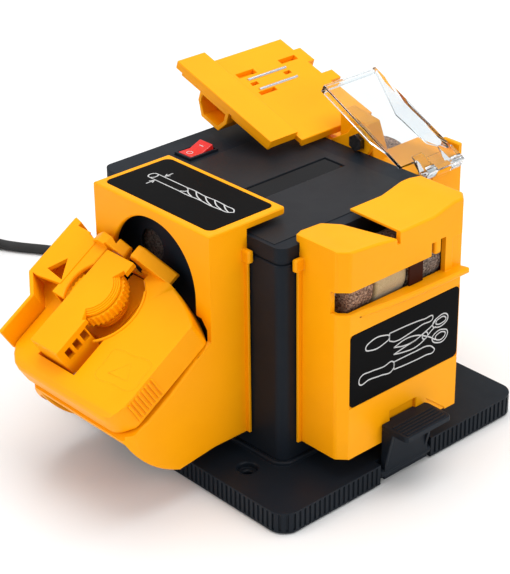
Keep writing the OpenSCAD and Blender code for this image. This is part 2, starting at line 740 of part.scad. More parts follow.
module drill_head() color(orange) difference() {
    in_head() difference() {
        union() {
            translate([0, 0, -head_t]) linear_extrude(head_t) polygon(head_plan());
            translate([0, 0, -3]) linear_extrude(bar_h + 3) head_walls();
            translate([0, 0, -3]) linear_extrude(2.4)
                polygon([[-45, 12], [wing_x + 1, 15.4], [wing_x, -21.9], [-48, -33], [-45, -33]]);
            translate([0, 0, bar_h - 2.6]) linear_extrude(2.6) difference() {
                polygon([[wing_x + 1, 15.4], [-45, 11.5], [-37, 10], [-37, -20], [-56, -22.4], [wing_x, -21.9]]);
                polygon([[-52.3, -16.2], [-45.2, -6], [-38, -18]]);
            }
            slab(-38, clamp_x - bar_half_w - slot_gap, -26, 9, -1, bar_h - 0.4);
            translate([0, 17, 0]) across_y(-8, 0)
                polygon([[-44, -1], [-38.5, 13], [-33, 16], [-27, 15.5], [-18, 8], [-18, -1]]);
            translate([0, 19, 0]) across_y(-8, 0)
                polygon([[-14, -3], [-13, 9], [-10.4, 12], [-5.5, 11.5], [12, -1], [12, -3]]);
            for (i = [0:7]) slab(head_right - 1, head_right + ridge, -37.5 - i * 2.5, -36.3 - i * 2.5, 2 - head_t, -1.5);
            translate([clamp_x, thumb_s, well_floor - 1]) cylinder(r = stud_r, h = 6.5 - well_floor);
        }
        difference() {
            union() {
                translate([clamp_x, thumb_s, well_floor]) cylinder(r = well_r, h = thumb_top + 0.5 - well_floor);
                slab(clamp_x - bar_half_w - slot_gap, clamp_x + bar_half_w + 7, bar_low - 1.6, -20, slot_floor, 30);
                slab(clamp_x - bar_half_w - slot_gap, clamp_x + bar_half_w + slot_gap, -20, bar_top + 1.5, slot_floor, 30);
            }
            translate([clamp_x, thumb_s, slot_floor - 1]) cylinder(r = stud_r, h = 20);
            slab(clamp_x - 12, clamp_x + 12, -30, 10, slot_floor - 1, well_floor);
        }
        translate([clamp_x, thumb_s, thumb_top]) cylinder(r = thumb_r + slide_gap, h = 20);
        // Drill channel
        translate([clamp_x, 30, 0]) rotate([90, 0, 0]) cylinder(r = 6.5, h = 27);
        // Bevel along the lower edge
        along_x(-70, 60) polygon([[-62, 0.02], [-75, 0.02], [-75, -8], [-67.5, -3.4]]);
        translate([pivot_x, pivot_s, -head_t - 1]) cylinder(r = pivot_r + run_fit, h = head_t - 2);
    }
    slab(-station_half_w - 10, 9 - arch_r, -drill_face - 4.3, 0, 60, 150);
    slab(4 - arch_r, 60, 4.7 - drill_face, 0, 60, 106);
}

module clamp_bar() color([1, 0.75, 0.1]) in_head() difference() {
    union() {
        translate([0, 0, bar_h - bar_plate]) linear_extrude(bar_plate) {
            translate([clamp_x - bar_half_w, bar_low]) square([2 * bar_half_w, bar_top - bar_low]);
            translate([clamp_x, thumb_s]) circle(thumb_r - 0.8);
        }
        slab(clamp_x - bar_half_w, clamp_x + bar_half_w, bar_low, -33.2, -8, bar_h - 1);
    }
    slab(clamp_x - bar_half_w + 2.4, clamp_x + bar_half_w - 2.4, bar_low + 2.4, -30, -9, bar_h - bar_plate);
    for (i = [0:2]) slab(clamp_x, clamp_x + bar_half_w + 1, bar_low + 4 + i * 6, bar_low + 8 + i * 6, 2, 8.4);
}

module thumb_wheel() color([0.95, 0.55, 0.03]) in_head() translate([clamp_x, thumb_s, thumb_low]) difference() {
    linear_extrude(thumb_top - thumb_low) polygon([for (i = [0:143])
        let (r = thumb_r - (i % 4 < 2 ? 0 : 0.9)) r * [cos(i * 2.5), sin(i * 2.5)]]);
    translate([0, 0, -1]) cylinder(r = stud_r + run_fit, h = thumb_top - thumb_low + 2);
}

// ---- knife station ----

function knife_plan(d) = [
    [body_half_w, -station_half_w + d], [knife_face - 5 - d / 2, -station_half_w + d], [knife_face - d, -station_half_w + 5 + d / 2],
    [knife_face - d, station_half_w - 5 - d / 2], [knife_face - 5 - d / 2, station_half_w - d], [body_half_w, station_half_w - d]
];

function rest_edge(y) = let (u = (y + 43) / 85.5) knife_face - 2 + 7.2 * (1 - pow(1 - u, 3));

module knife_top() intersection() {
    along_x(60, 110) polygon([
        [-46, cap_low], [-46, 144.3], [-41, 144.2], [-20, 142.4], [-7, 140.6], [-7, 143.9],
        [19, 143.9], [34, 147.5], [46, 147.5], [46, cap_low]
    ]);
    translate([0, 0, cap_low]) linear_extrude(20) {
        polygon([[knife_face, -41], [knife_face, -8], [74, -18], [66, -26.5], [67, -41],
            [69, -46], [knife_face - 5, -46]]);
        polygon([[66, -5], [knife_face, -5.8], [knife_face, 41], [knife_face - 5, 46], [68, 46], [66, 40]]);
    }
}

module knife_station() color(orange) difference() {
    union() {
        difference() {
            translate([0, 0, station_z]) linear_extrude(cap_low - station_z + 1) polygon(knife_plan(0));
            translate([0, 0, station_z + wall]) linear_extrude(cap_low - station_z + 1) polygon(knife_plan(wall));
            slab(knife_face - wall - 1, knife_face + 1, -50, 28.5, 109, 121.5);
            slab(knife_face - 9, knife_face + 1, -50, -station_half_w + wall + 3, 109, 121.5);
            slab(knife_face - wall - 1, knife_face + 1, 18.3, 20.7, 121, 129);
            slab(knife_face - wall - 1, knife_face + 1, 24.5, 28.5, 109, 129.5);
        }
        knife_top();
        slab(knife_face - 2.7, knife_face - 1.2, 3, 13.6, 108, 122);
        translate([0, 0, 105.5]) linear_extrude(3.5) polygon(concat([[knife_face - 2, -43]],
            [for (y = [-38:5.75:42.5]) [rest_edge(y), y]], [[knife_face - 2, 40.5]]));
        for (y = [-station_half_w - 5.5, station_half_w]) slab(body_half_w + 0.5, body_half_w + 3.7, y, y + 5.5, 126, 133);
    }
    slab(knife_face - 1.2, knife_face + 6, 34, 50, 109, 127);
    knife_label_plan(0.2, 1.5);
    slab(knife_face - 2.2, knife_face + 1, -9.7, 9.7, 32, 41);
    along_x(knife_face - 1, knife_face + 1) polygon([[18, 23], [18, 36.8], [33, 25], [33, 23]]);
    slab(60, body_half_w + 0.4, -50, 50, cap_low - 1, lid_z + 0.4);
}

module knife_label_plan(grow, t) slab(knife_face - 0.5, knife_face - 0.5 + t, 5.6 - station_half_w - grow,
    station_half_w - 5.4 + grow, station_z + 30.8 - grow, station_z + 73 + grow);

module knife_label() color([0.05, 0.05, 0.06]) knife_label_plan(0, 0.6);

// ---- chisel station ----

module chisel_station() color(orange) difference() {
    union() {
        slab(-station_half_w, station_half_w, body_half_d, chisel_face, station_z, deck_z);
        slab(station_half_w - horn_l, station_half_w, chisel_face - wall, chisel_face, deck_z - 1, horn_z);
        across_y(arm_y[1] + slide_gap, bridge_y) polygon([[-8, deck_z - 1], [19.5, deck_z - 1], [17.8, 139.7], [12, 154], [-8, 157]]);
        slab(station_half_w - 1, hinge_x, hinge_mid[0], hinge_mid[1], hinge_z - 5, hinge_z + 1);
        along_y(hinge_x, hinge_z, hinge_mid[0], hinge_mid[1], knuckle_r);
        for (x = [-station_half_w - 5.5, station_half_w])
            slab(x, x + 5.5, body_half_d + 0.4, body_half_d + 4, 118, 125);
        at_edge("chisel") low_catch(3.4);
    }
    slab(wall - station_half_w, low_deck_x, body_half_d + wall, chisel_face - wall, station_z + wall, low_deck_z - wall);
    slab(low_deck_x - 1, station_half_w - wall, body_half_d + wall, chisel_face - wall, station_z + wall, low_deck_z - wall);
    slab(deck_x - 9, station_half_w - wall, body_half_d + wall, chisel_face - wall, station_z + wall, deck_z - wall);
    slab(low_deck_x, deck_x, body_half_d + wall, bridge_y - wall, station_z + wall, deck_z - wall);
    slab(low_deck_x, deck_x, bridge_y, chisel_face - wall, low_deck_z - wall - 1, deck_z + 1);
    slab(-station_half_w - 1, deck_x, bridge_y, chisel_face + 1, low_deck_z, deck_z + 1);
    slab(-station_half_w - 1, low_deck_x, body_half_d - 1, bridge_y + 1, low_deck_z, deck_z + 1);
    along_y(0, axis_z, body_half_d - 1, body_half_d + wall + 1, shaft_hole_r);
    along_y(bolt_x, bolt_z, body_half_d, bridge_y - 2, bolt_r);
    along_y(hinge_x, hinge_z, 50, 110, shield_pin_r);
}

module tray_pivot_bolt() color([0.2, 0.2, 0.2]) {
    along_y(bolt_x, bolt_z, arm_y[0] - 1, bridge_y - 2, bolt_r);
    translate([bolt_x, arm_y[0] - 0.3 - bolt_head_t, bolt_z]) rotate([-90, 30, 0]) cylinder(r = bolt_head_r, h = bolt_head_t, $fn = 6);
}

function tube_outline() = [
    [tube_x[0], tube_h[1]], [tube_x[1], tube_h[1]], [tube_x[1], tube_h[0] + 8],
    [tube_x[1] - 5, tube_h[0]], [tube_x[0] + 5, tube_h[0]], [tube_x[0], tube_h[0] + 8]
];

module tray_arm() color(orange) difference() {
    in_tray() {
        across_y(arm_y[0] - tray_y, arm_y[1] - tray_y) {
            polygon([
                [tube_x[0] + 3, arm_low], [tube_x[0] + 3, arm_top], [5.6, arm_top], [7, -7.5],
                [18.5, 6], [29, -3], [20, -8], [0, arm_low]
            ]);
            polygon(arc(bolt_in[0], bolt_in[1], arm_eye_r, 7.5, 352.5, 23));
        }
        across_y(11, arm_y[1] - tray_y) polygon(inset(tube_outline(), tube_wall + slide_gap));
    }
    along_y(bolt_x, bolt_z, 50, 70, bolt_r + run_fit);
}

module chisel_tray() color(orange) in_tray() difference() {
    union() {
        slab(-tray_l, 0, 0, strip_w, -strip_t, 0);
        slab(-75, 5, strip_w - 1, strip_w + plate_w, -step_d - plate_t, -step_d);
        slab(3, 5, strip_w, strip_w + plate_w, -7, -step_d);
        slab(-79, -3, 2.5, 5, -9, -strip_t + 1);
        slab(-63, -50, strip_w + plate_w - 1, 80, -7, -step_d);
        slab(-38, -30, strip_w + plate_w - 1, 83, -7, -step_d);
        across_y(0.5, tube_l) polygon(tube_outline());
    }
    across_y(-1, tube_l + 1) polygon(inset(tube_outline(), tube_wall));
    slab(-59, -55, 25, 38.6, -6, 0);
    slab(-59, -55, 58, 71, -6, 0);
    slab(-48.7, -46, 53, 58, -6, 0);
    slab(-48.7, -46, 27.4, 32.5, -6, 0);
    slab(-40, -37, 26.4, 38.6, -6, 0);
    at_rods();
}

module at_rods() {
    along_y(-51.6, -2.1, 28.3, 57.7, 1);
    along_y(-41.7, -2.1, 28.7, 58.1, 1);
}

module guide_rods() color(steel) in_tray() at_rods();

module clear_shield() color([0.85, 0.92, 0.95, 0.35]) difference() {
    in_shield() {
        slab(-shield_l, 0, shield_y[0], shield_y[1], -shield_t, 0);
        across_y(shield_y[0], shield_y[0] + shield_t) polygon([[-shield_l, -1], [-shield_l, -5], [-24, -5], [-8, -1]]);
        across_y(shield_y[1] - shield_t, shield_y[1])
            polygon([[-shield_l, -1], [-40, -shield_drop - 2], [-14, -shield_drop], [0, -3], [0, -1]]);
        slab(-shield_l, -shield_l + shield_t, shield_y[0], shield_y[1], -5, -1);
        slab(-1, hinge_in[0] + knuckle_r, hinge_y[0], hinge_y[1], -1.6, 0);
        for (span = [[hinge_y[0], hinge_mid[0] - slide_gap], [hinge_mid[1] + slide_gap, hinge_y[1]]])
            across_y(span[0], span[1]) {
                polygon([[-4, -1], [hinge_in[0] + knuckle_r, -1], hinge_in + [knuckle_r, 0],
                    hinge_in - [knuckle_r, 0], [-4, -2.5]]);
                translate(hinge_in) circle(knuckle_r);
            }
    }
    along_y(hinge_x, hinge_z, 50, 110, shield_pin_r + run_fit);
}

module shield_pin() color(steel) along_y(hinge_x, hinge_z, hinge_y[0] - 1, hinge_y[1] + 1, shield_pin_r);

// ---- cord ----

function unit(v) = v / norm(v);
function heading(i) = i == 0 ? [-1, 0, 0] : unit(CORD[min(i + 1, len(CORD) - 1)] - CORD[i - 1]);
function ring(i) = let (t = heading(i), side = unit(cross(t, [0, 0, 1])), up = cross(side, t))
    [for (k = [0:cord_sides - 1]) let (a = 360 * k / cord_sides + 22.5) CORD[i] + cord_r * (cos(a) * side + sin(a) * up)];

module cord_tube() color([0.1, 0.1, 0.1]) {
    n = len(CORD);
    polyhedron(
        points = [for (i = [0:n - 1]) each ring(i)],
        faces = concat(
            [[for (k = [0:cord_sides - 1]) k]],
            [for (i = [0:n - 2], k = [0:cord_sides - 1]) let (a = i * cord_sides + k, b = i * cord_sides + (k + 1) % cord_sides)
                [a, a + cord_sides, b + cord_sides, b]],
            [[for (k = [0:cord_sides - 1]) (n - 1) * cord_sides + cord_sides - 1 - k]]));
}

module cord_coil() color([0.1, 0.1, 0.1]) translate([coil_x, coil_y, 0]) rotate_extrude($fn = 72) {
    for (r = coil_radii, layer = [0, 1]) translate([r, cord_r + layer * 2 * cord_r]) circle(cord_r, $fn = 16);
    translate([coil_radii[0], cord_r]) square([coil_radii[2] - coil_radii[0], 2 * cord_r]);
}

module mains_plug() color([0.1, 0.1, 0.1]) {
    translate([coil_x - coil_radii[2], coil_y, 0]) {
        along_y(0, plug_z, -24, 0, cord_r + 0.4);
        for (i = [0:3]) along_y(0, plug_z, -30, -26 + i * 4, cord_r + 2.4 - i * 0.6);
        slab(-plug_half_w, plug_half_w, -30 - plug_l, -30, 0, 2 * plug_z, 4);
    }
}

module plug_pins() color(steel) translate([coil_x - coil_radii[2], coil_y - 30 - plug_l, plug_z]) for (x = [-9.5, 9.5])
    along_y(x, 0, -19, 0, 2);

base_plate();
rubber_feet();
body_housing();
housing_screws();
body_lid();
lid_inlay();
switch_housing();
rocker_button();
motor_mount();
motor_strap();
motor_can();
front_end_cap();
rear_end_cap();
field_magnets();
front_bearing();
rear_bearing();
wall_bearing();
motor_shaft();
armature_core();
commutator();
cooling_fan();
drill_wheel();
chisel_wheel();
drive_pulley();
drive_belt();
knife_spindle();
coarse_knife_wheel();
felt_knife_wheel();
fine_knife_wheel();
driven_pulley();
spindle_brackets();
drill_wheel_guard();
drill_station();
drill_label();
head_pivot_pin();
drill_head();
clamp_bar();
thumb_wheel();
knife_station();
knife_label();
chisel_station();
tray_arm();
tray_pivot_bolt();
chisel_tray();
guide_rods();
clear_shield();
shield_pin();
knife_latch();
drill_latch();
chisel_latch();
latch_pins();
strain_relief();
cord_tube();
cord_coil();
mains_plug();
plug_pins();
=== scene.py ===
import math

import bmesh
import bpy
from mathutils import Matrix, Quaternion, Vector, bvhtree
from mathutils.geometry import intersect_point_line


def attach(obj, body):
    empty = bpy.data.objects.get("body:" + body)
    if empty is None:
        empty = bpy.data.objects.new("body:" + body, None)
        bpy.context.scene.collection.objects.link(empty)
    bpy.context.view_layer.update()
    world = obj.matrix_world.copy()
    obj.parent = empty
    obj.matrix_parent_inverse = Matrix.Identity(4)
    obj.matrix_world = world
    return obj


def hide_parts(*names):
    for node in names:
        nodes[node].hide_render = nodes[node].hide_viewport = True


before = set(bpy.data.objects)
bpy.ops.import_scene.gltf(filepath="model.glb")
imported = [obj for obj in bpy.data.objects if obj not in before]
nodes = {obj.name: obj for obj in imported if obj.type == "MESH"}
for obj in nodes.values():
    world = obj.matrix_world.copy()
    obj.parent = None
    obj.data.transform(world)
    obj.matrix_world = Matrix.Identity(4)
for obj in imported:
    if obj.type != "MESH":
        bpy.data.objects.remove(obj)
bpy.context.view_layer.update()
mm = 0.001
print("frame loaded,", len(nodes), "nodes")

scene = bpy.context.scene
scene.view_settings.view_transform = "Standard"


def linkObject(name, data):
    piece = bpy.data.objects.new(name, data)
    scene.collection.objects.link(piece)
    return piece


cameraSet = {
    "place": (0.64931, -0.59919, 0.53615),
    "target": (-0.02281, 0.02081, 0.06),
    "roll": -0.451,  # degrees
    "lens": 112.68,
    "shift": (-0.02564, -0.01272),
}


def addCamera(c):
    data = bpy.data.cameras.new("viewCamera")
    data.sensor_width = 36
    data.lens = c["lens"]
    data.shift_x, data.shift_y = c["shift"]
    data.clip_start, data.clip_end = 0.05, 20
    camera = linkObject("viewCamera", data)
    back = Vector(c["place"]) - Vector(c["target"])
    camera.location = c["place"]
    camera.rotation_mode = "QUATERNION"
    camera.rotation_quaternion = back.to_track_quat("Z", "Y") @ Quaternion((0, 0, 1), math.radians(c["roll"]))
    scene.camera = camera


addCamera(cameraSet)
print("camera placed")

# shared effects, in object coordinates; they give masks and heights only


def newGroup(name, inputs, outputs):
    group = bpy.data.node_groups.new(name, "ShaderNodeTree")
    for label, value in inputs:
        group.interface.new_socket(label, in_out="INPUT", socket_type="NodeSocketFloat").default_value = value
    for label in outputs:
        group.interface.new_socket(label, in_out="OUTPUT", socket_type="NodeSocketFloat")
    return group, group.nodes.new("NodeGroupInput"), group.nodes.new("NodeGroupOutput")


def addNode(tree, kind, **values):
    node = tree.nodes.new(kind)
    for key, value in values.items():
        if hasattr(node, key):
            setattr(node, key, value)
        else:
            node.inputs[key.replace("_", " ")].default_value = value
    return node


def mathNode(tree, operation, a, b):
    node = tree.nodes.new("ShaderNodeMath")
    node.operation = operation
    for slot, value in ((0, a), (1, b)):
        if isinstance(value, (int, float)):
            node.inputs[slot].default_value = value
        else:
            tree.links.new(value, node.inputs[slot])
    return node.outputs[0]


def buildMouldedSkin():  # fine spark-eroded grain with broad, faint mottling
    group, given, result = newGroup(
        "mouldedSkin", (("Grain Scale", 1400.0), ("Mottle Scale", 18.0)), ("Height", "Mottle", "Haze"))
    link = group.links.new
    place = group.nodes.new("ShaderNodeTexCoord").outputs["Object"]
    grain = addNode(group, "ShaderNodeTexNoise", Detail=3.0, Roughness=0.6)
    mottle = addNode(group, "ShaderNodeTexNoise", Detail=4.0, Roughness=0.55)
    haze = addNode(group, "ShaderNodeTexNoise", Detail=6.0, Roughness=0.7, Scale=60.0)
    for texture in (grain, mottle, haze):
        link(place, texture.inputs["Vector"])
    link(given.outputs["Grain Scale"], grain.inputs["Scale"])
    link(given.outputs["Mottle Scale"], mottle.inputs["Scale"])
    link(grain.outputs["Fac"], result.inputs["Height"])
    link(mottle.outputs["Fac"], result.inputs["Mottle"])
    link(haze.outputs["Fac"], result.inputs["Haze"])
    return group


def buildGritField():  # crushed grains of several sizes, with darker pores between them
    group, given, result = newGroup("gritField", (("Scale", 900.0),), ("Grains", "Pores", "Height"))
    link = group.links.new
    place = group.nodes.new("ShaderNodeTexCoord").outputs["Object"]
    cells = addNode(group, "ShaderNodeTexVoronoi", feature="F1")
    pores = addNode(group, "ShaderNodeTexNoise", Detail=5.0, Roughness=0.7)
    link(place, cells.inputs["Vector"])
    link(place, pores.inputs["Vector"])
    link(given.outputs["Scale"], cells.inputs["Scale"])
    link(mathNode(group, "MULTIPLY", given.outputs["Scale"], 0.6), pores.inputs["Scale"])
    split = group.nodes.new("ShaderNodeSeparateColor")
    link(cells.outputs["Color"], split.inputs[0])
    link(split.outputs[0], result.inputs["Grains"])
    link(pores.outputs["Fac"], result.inputs["Pores"])
    bumps = mathNode(group, "SUBTRACT", 1.0, cells.outputs["Distance"])
    link(mathNode(group, "ADD", bumps, pores.outputs["Fac"]), result.inputs["Height"])
    return group


def buildDrawnMetal():  # long faint scratches along Y
    group, given, result = newGroup("drawnMetal", (("Scale", 500.0),), ("Scratch", "Height"))
    link = group.links.new
    place = group.nodes.new("ShaderNodeTexCoord").outputs["Object"]
    stretch = addNode(group, "ShaderNodeMapping")
    stretch.inputs["Scale"].default_value = (1, 0.04, 1)
    scratch = addNode(group, "ShaderNodeTexNoise", Detail=6.0, Roughness=0.65)
    link(place, stretch.inputs["Vector"])
    link(stretch.outputs[0], scratch.inputs["Vector"])
    link(given.outputs["Scale"], scratch.inputs["Scale"])
    link(scratch.outputs["Fac"], result.inputs["Scratch"])
    link(scratch.outputs["Fac"], result.inputs["Height"])
    return group


def buildFeltNap():  # short tangled fibres
    group, given, result = newGroup("feltNap", (("Scale", 700.0),), ("Fibre", "Height"))
    link = group.links.new
    place = group.nodes.new("ShaderNodeTexCoord").outputs["Object"]
    fibre = addNode(group, "ShaderNodeTexNoise", Detail=8.0, Roughness=0.8, Distortion=1.4)
    link(place, fibre.inputs["Vector"])
    link(given.outputs["Scale"], fibre.inputs["Scale"])
    link(fibre.outputs["Fac"], result.inputs["Fibre"])
    link(fibre.outputs["Fac"], result.inputs["Height"])
    return group


groups = {"skin": buildMouldedSkin(), "grit": buildGritField(), "metal": buildDrawnMetal(), "felt": buildFeltNap()}
print("node groups built")


def startMaterial(name, groupName, settings):
    material = bpy.data.materials.new(name)
    material.use_nodes = True
    tree = material.node_tree
    shader = tree.nodes["Principled BSDF"]
    effect = tree.nodes.new("ShaderNodeGroup")
    effect.node_tree = groups[groupName]
    for key, value in settings.items():
        effect.inputs[key].default_value = value
    return material, tree, shader, effect


def mixColours(tree, mask, low, high, start, end):
    ramp = tree.nodes.new("ShaderNodeValToRGB")
    ramp.color_ramp.elements[0].position = start
    ramp.color_ramp.elements[1].position = end
    ramp.color_ramp.elements[0].color = (*low, 1)
    ramp.color_ramp.elements[1].color = (*high, 1)
    tree.links.new(mask, ramp.inputs[0])
    return ramp.outputs[0]


def spread(tree, mask, low, high):
    node = tree.nodes.new("ShaderNodeMapRange")
    node.inputs["To Min"].default_value = low
    node.inputs["To Max"].default_value = high
    node.inputs["From Min"].default_value = 0.3
    node.inputs["From Max"].default_value = 0.7
    tree.links.new(mask, node.inputs["Value"])
    return node.outputs["Result"]


def addBump(tree, shader, height, distance, strength):
    bump = tree.nodes.new("ShaderNodeBump")
    bump.inputs["Distance"].default_value = distance
    bump.inputs["Strength"].default_value = strength
    tree.links.new(height, bump.inputs["Height"])
    tree.links.new(bump.outputs[0], shader.inputs["Normal"])


def makePlastic(name, low, high, rough, grain=1400.0, bump=0.25, specular=0.5):
    material, tree, shader, skin = startMaterial(name, "skin", {"Grain Scale": grain})
    tree.links.new(mixColours(tree, skin.outputs["Mottle"], low, high, 0.35, 0.65), shader.inputs["Base Color"])
    tree.links.new(spread(tree, skin.outputs["Haze"], rough[0], rough[1]), shader.inputs["Roughness"])
    addBump(tree, shader, skin.outputs["Height"], 0.00006, bump)
    shader.inputs["Specular IOR Level"].default_value = specular
    return material


def makeGrit(name, low, high, glint, scale):
    material, tree, shader, grit = startMaterial(name, "grit", {"Scale": scale})
    base = mixColours(tree, grit.outputs["Grains"], low, high, 0.1, 0.8)
    pores = tree.nodes.new("ShaderNodeMix")
    pores.data_type = "RGBA"
    pores.blend_type = "MULTIPLY"
    pores.inputs[0].default_value = 0.8
    tree.links.new(base, pores.inputs[6])
    tree.links.new(mixColours(tree, grit.outputs["Pores"], (0.25, 0.22, 0.2), glint, 0.38, 0.62), pores.inputs[7])
    tree.links.new(pores.outputs[2], shader.inputs["Base Color"])
    tree.links.new(spread(tree, grit.outputs["Grains"], 0.95, 0.6), shader.inputs["Roughness"])
    addBump(tree, shader, grit.outputs["Height"], 0.0005, 0.9)
    return material


def makeMetal(name, low, high, rough, scale=500.0):
    material, tree, shader, drawn = startMaterial(name, "metal", {"Scale": scale})
    tree.links.new(mixColours(tree, drawn.outputs["Scratch"], low, high, 0.3, 0.7), shader.inputs["Base Color"])
    tree.links.new(spread(tree, drawn.outputs["Scratch"], rough[0], rough[1]), shader.inputs["Roughness"])
    addBump(tree, shader, drawn.outputs["Height"], 0.00005, 0.2)
    shader.inputs["Metallic"].default_value = 1.0
    return material


def makeFelt(name, low, high):
    material, tree, shader, nap = startMaterial(name, "felt", {"Scale": 700.0})
    tree.links.new(mixColours(tree, nap.outputs["Fibre"], low, high, 0.3, 0.7), shader.inputs["Base Color"])
    tree.links.new(spread(tree, nap.outputs["Fibre"], 0.9, 1.0), shader.inputs["Roughness"])
    addBump(tree, shader, nap.outputs["Height"], 0.0006, 0.9)
    shader.inputs["Sheen Weight"].default_value = 0.4
    return material


def makeClear(name):
    material, tree, shader, skin = startMaterial(name, "skin", {"Grain Scale": 40.0})
    tree.links.new(mixColours(tree, skin.outputs["Mottle"], (0.86, 0.92, 0.95), (0.91, 0.95, 0.97), 0.3, 0.7),
                   shader.inputs["Base Color"])
    tree.links.new(spread(tree, skin.outputs["Haze"], 0.01, 0.05), shader.inputs["Roughness"])
    addBump(tree, shader, skin.outputs["Height"], 0.00004, 0.05)
    shader.inputs["Transmission Weight"].default_value = 1.0
    shader.inputs["IOR"].default_value = 1.49
    return material


finishes = {
    "orange_plastic": makePlastic("orangeAbs", (0.95, 0.36, 0.0), (0.99, 0.388, 0.001), (0.34, 0.44),
                                  specular=0.13),
    "black_plastic": makePlastic("blackAbs", (0.006, 0.0095, 0.0145), (0.009, 0.013, 0.0195), (0.38, 0.5),
                                 bump=0.5, specular=0.13),
    "label_black": makePlastic("labelFilm", (0.001, 0.001, 0.0012), (0.002, 0.002, 0.0024), (0.28, 0.36),
                               bump=0.05, specular=0.03),
    "dark_window": makePlastic("glossInlay", (0.002, 0.002, 0.003), (0.004, 0.004, 0.005), (0.1, 0.16), bump=0.03,
                               specular=0.09),
    "red_plastic": makePlastic("redAbs", (0.62, 0.012, 0.01), (0.7, 0.018, 0.014), (0.18, 0.28), bump=0.08),
    "clear_plastic": makeClear("clearAcrylic"),
    "grey_grit": makeGrit("greyGrit", (0.12, 0.1, 0.09), (0.42, 0.37, 0.33), (1.0, 0.96, 0.9), 1100.0),
    "brown_grit": makeGrit("brownGrit", (0.17, 0.09, 0.06), (0.58, 0.38, 0.27), (1.0, 0.92, 0.84), 1200.0),
    "felt": makeFelt("pressedFelt", (0.4, 0.29, 0.13), (0.66, 0.52, 0.28)),
    "steel": makeMetal("drawnSteel", (0.55, 0.56, 0.58), (0.82, 0.83, 0.84), (0.2, 0.38)),
    "dark_steel": makeMetal("blackenedSteel", (0.035, 0.035, 0.04), (0.09, 0.09, 0.095), (0.35, 0.5)),
    "motor_grey": makePlastic("motorPaint", (0.3, 0.31, 0.33), (0.36, 0.37, 0.39), (0.35, 0.5)),
    "magnet": makePlastic("sinteredFerrite", (0.05, 0.05, 0.055), (0.08, 0.08, 0.085), (0.6, 0.8), bump=0.8),
    "copper": makeMetal("brightCopper", (0.62, 0.27, 0.12), (0.8, 0.4, 0.2), (0.25, 0.4)),
    "laminations": makeMetal("stackedSheet", (0.2, 0.17, 0.15), (0.34, 0.3, 0.27), (0.4, 0.6), 900.0),
    "white_plastic": makePlastic("whiteFan", (0.72, 0.72, 0.7), (0.8, 0.8, 0.78), (0.4, 0.5)),
    # painted shade: dark brown for the orange web in the knife window, coloured as if deep in shadow
    "painted_shade_plastic": makePlastic("paintedShadeWeb", (0.03, 0.004, 0.0006), (0.045, 0.006, 0.0008), (0.5, 0.6),
                                  specular=0.1),
    "lid_grey": makePlastic("lidGrey", (0.009, 0.011, 0.0145), (0.0125, 0.0145, 0.0185), (0.36, 0.46), bump=0.5,
                            specular=0.16),
    # painted shade: a darker copy of the grey grit for the drill wheel, dark as the inside of the drill station
    "cavity_shade_grit": makeGrit("cavityShadeGrit", (0.025, 0.02, 0.018), (0.09, 0.075, 0.065), (1.0, 0.96, 0.9), 1100.0),
    "rubber": makePlastic("blackRubber", (0.012, 0.012, 0.012), (0.02, 0.02, 0.02), (0.65, 0.85), bump=0.7),
}
inkWhite = makePlastic("whiteInk", (0.55, 0.55, 0.55), (0.68, 0.68, 0.68), (0.4, 0.5), bump=0.05)
print("materials built")


cordSet = {
    "radius": 3.25,
    "route": [
        (-103.3, 40, 26), (-112.6, 40, 25.3), (-121.7, 39.9, 23.1), (-130.3, 39.8, 19.5), (-138.3, 39.6, 14.6),
        (-146.3, 39.3, 9.7), (-154.9, 38.8, 6.2), (-164, 38.2, 4), (-173.3, 37.4, 3.25), (-187, 35.5, 3.25),
        (-200, 32.5, 3.25), (-212.5, 28.4, 3.25), (-224, 23.6, 3.25), (-235, 18, 3.25), (-245, 11.3, 3.25),
        (-255, 4.8, 3.25), (-266, -0.4, 3.25), (-278, -3.6, 3.25), (-290, -4.9, 3.25),
    ],
    "coilCentre": (-300, -48),
    "turns": (43, 36.5, 30),  # radii of the turns, from the outside in
    "angles": range(105, 1981, 15),  # stations along the coil, in degrees
    "plugLead": ((8, 9.4), (16, 9), (26, 9)),  # past the coil: reach, height
}


def coilPoints(c):
    outer, middle, inner = c["turns"]
    low, high = c["radius"], 3 * c["radius"]
    # angle, radius, height: three turns inwards on the floor, a climb, then outwards on top
    keys = [(90, outer, low), (405, outer, low), (450, middle, low), (765, middle, low), (810, inner, low),
            (1080, inner, low), (1125, inner, high), (1395, inner, high), (1440, middle, high),
            (1755, middle, high), (1800, outer, high), (1980, outer, high)]
    points = []
    for angle in c["angles"]:
        a, b = next((p, q) for p, q in zip(keys, keys[1:]) if p[0] <= angle <= q[0])
        t = (angle - a[0]) / (b[0] - a[0])
        t = t * t * (3 - 2 * t)
        r, z = a[1] + (b[1] - a[1]) * t, a[2] + (b[2] - a[2]) * t
        turn = math.radians(angle)
        points.append((c["coilCentre"][0] + r * math.cos(turn), c["coilCentre"][1] + r * math.sin(turn), z))
    return points


def makeCord(c):
    points = c["route"] + coilPoints(c)
    end = points[-1]
    points += [(end[0], end[1] - reach, height) for reach, height in c["plugLead"]]
    curve = bpy.data.curves.new("mainsCord", "CURVE")
    curve.dimensions = "3D"
    curve.bevel_depth = c["radius"] * mm
    curve.bevel_resolution = 3
    curve.use_fill_caps = True
    curve.resolution_u = 3
    spline = curve.splines.new("BEZIER")
    spline.bezier_points.add(len(points) - 1)
    for knot, point in zip(spline.bezier_points, points):
        knot.co = Vector(point) * mm
        knot.handle_left_type = knot.handle_right_type = "AUTO"
    return linkObject("mainsCord", curve), points


cord, cordPoints = makeCord(cordSet)
cord.data.materials.append(finishes["rubber"])
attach(cord, "machine")
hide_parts("cord_tube", "cord_coil")


meshSet = {"weld": 1e-5, "flat": math.radians(0.6)}  # metres, and the angle under which faces merge


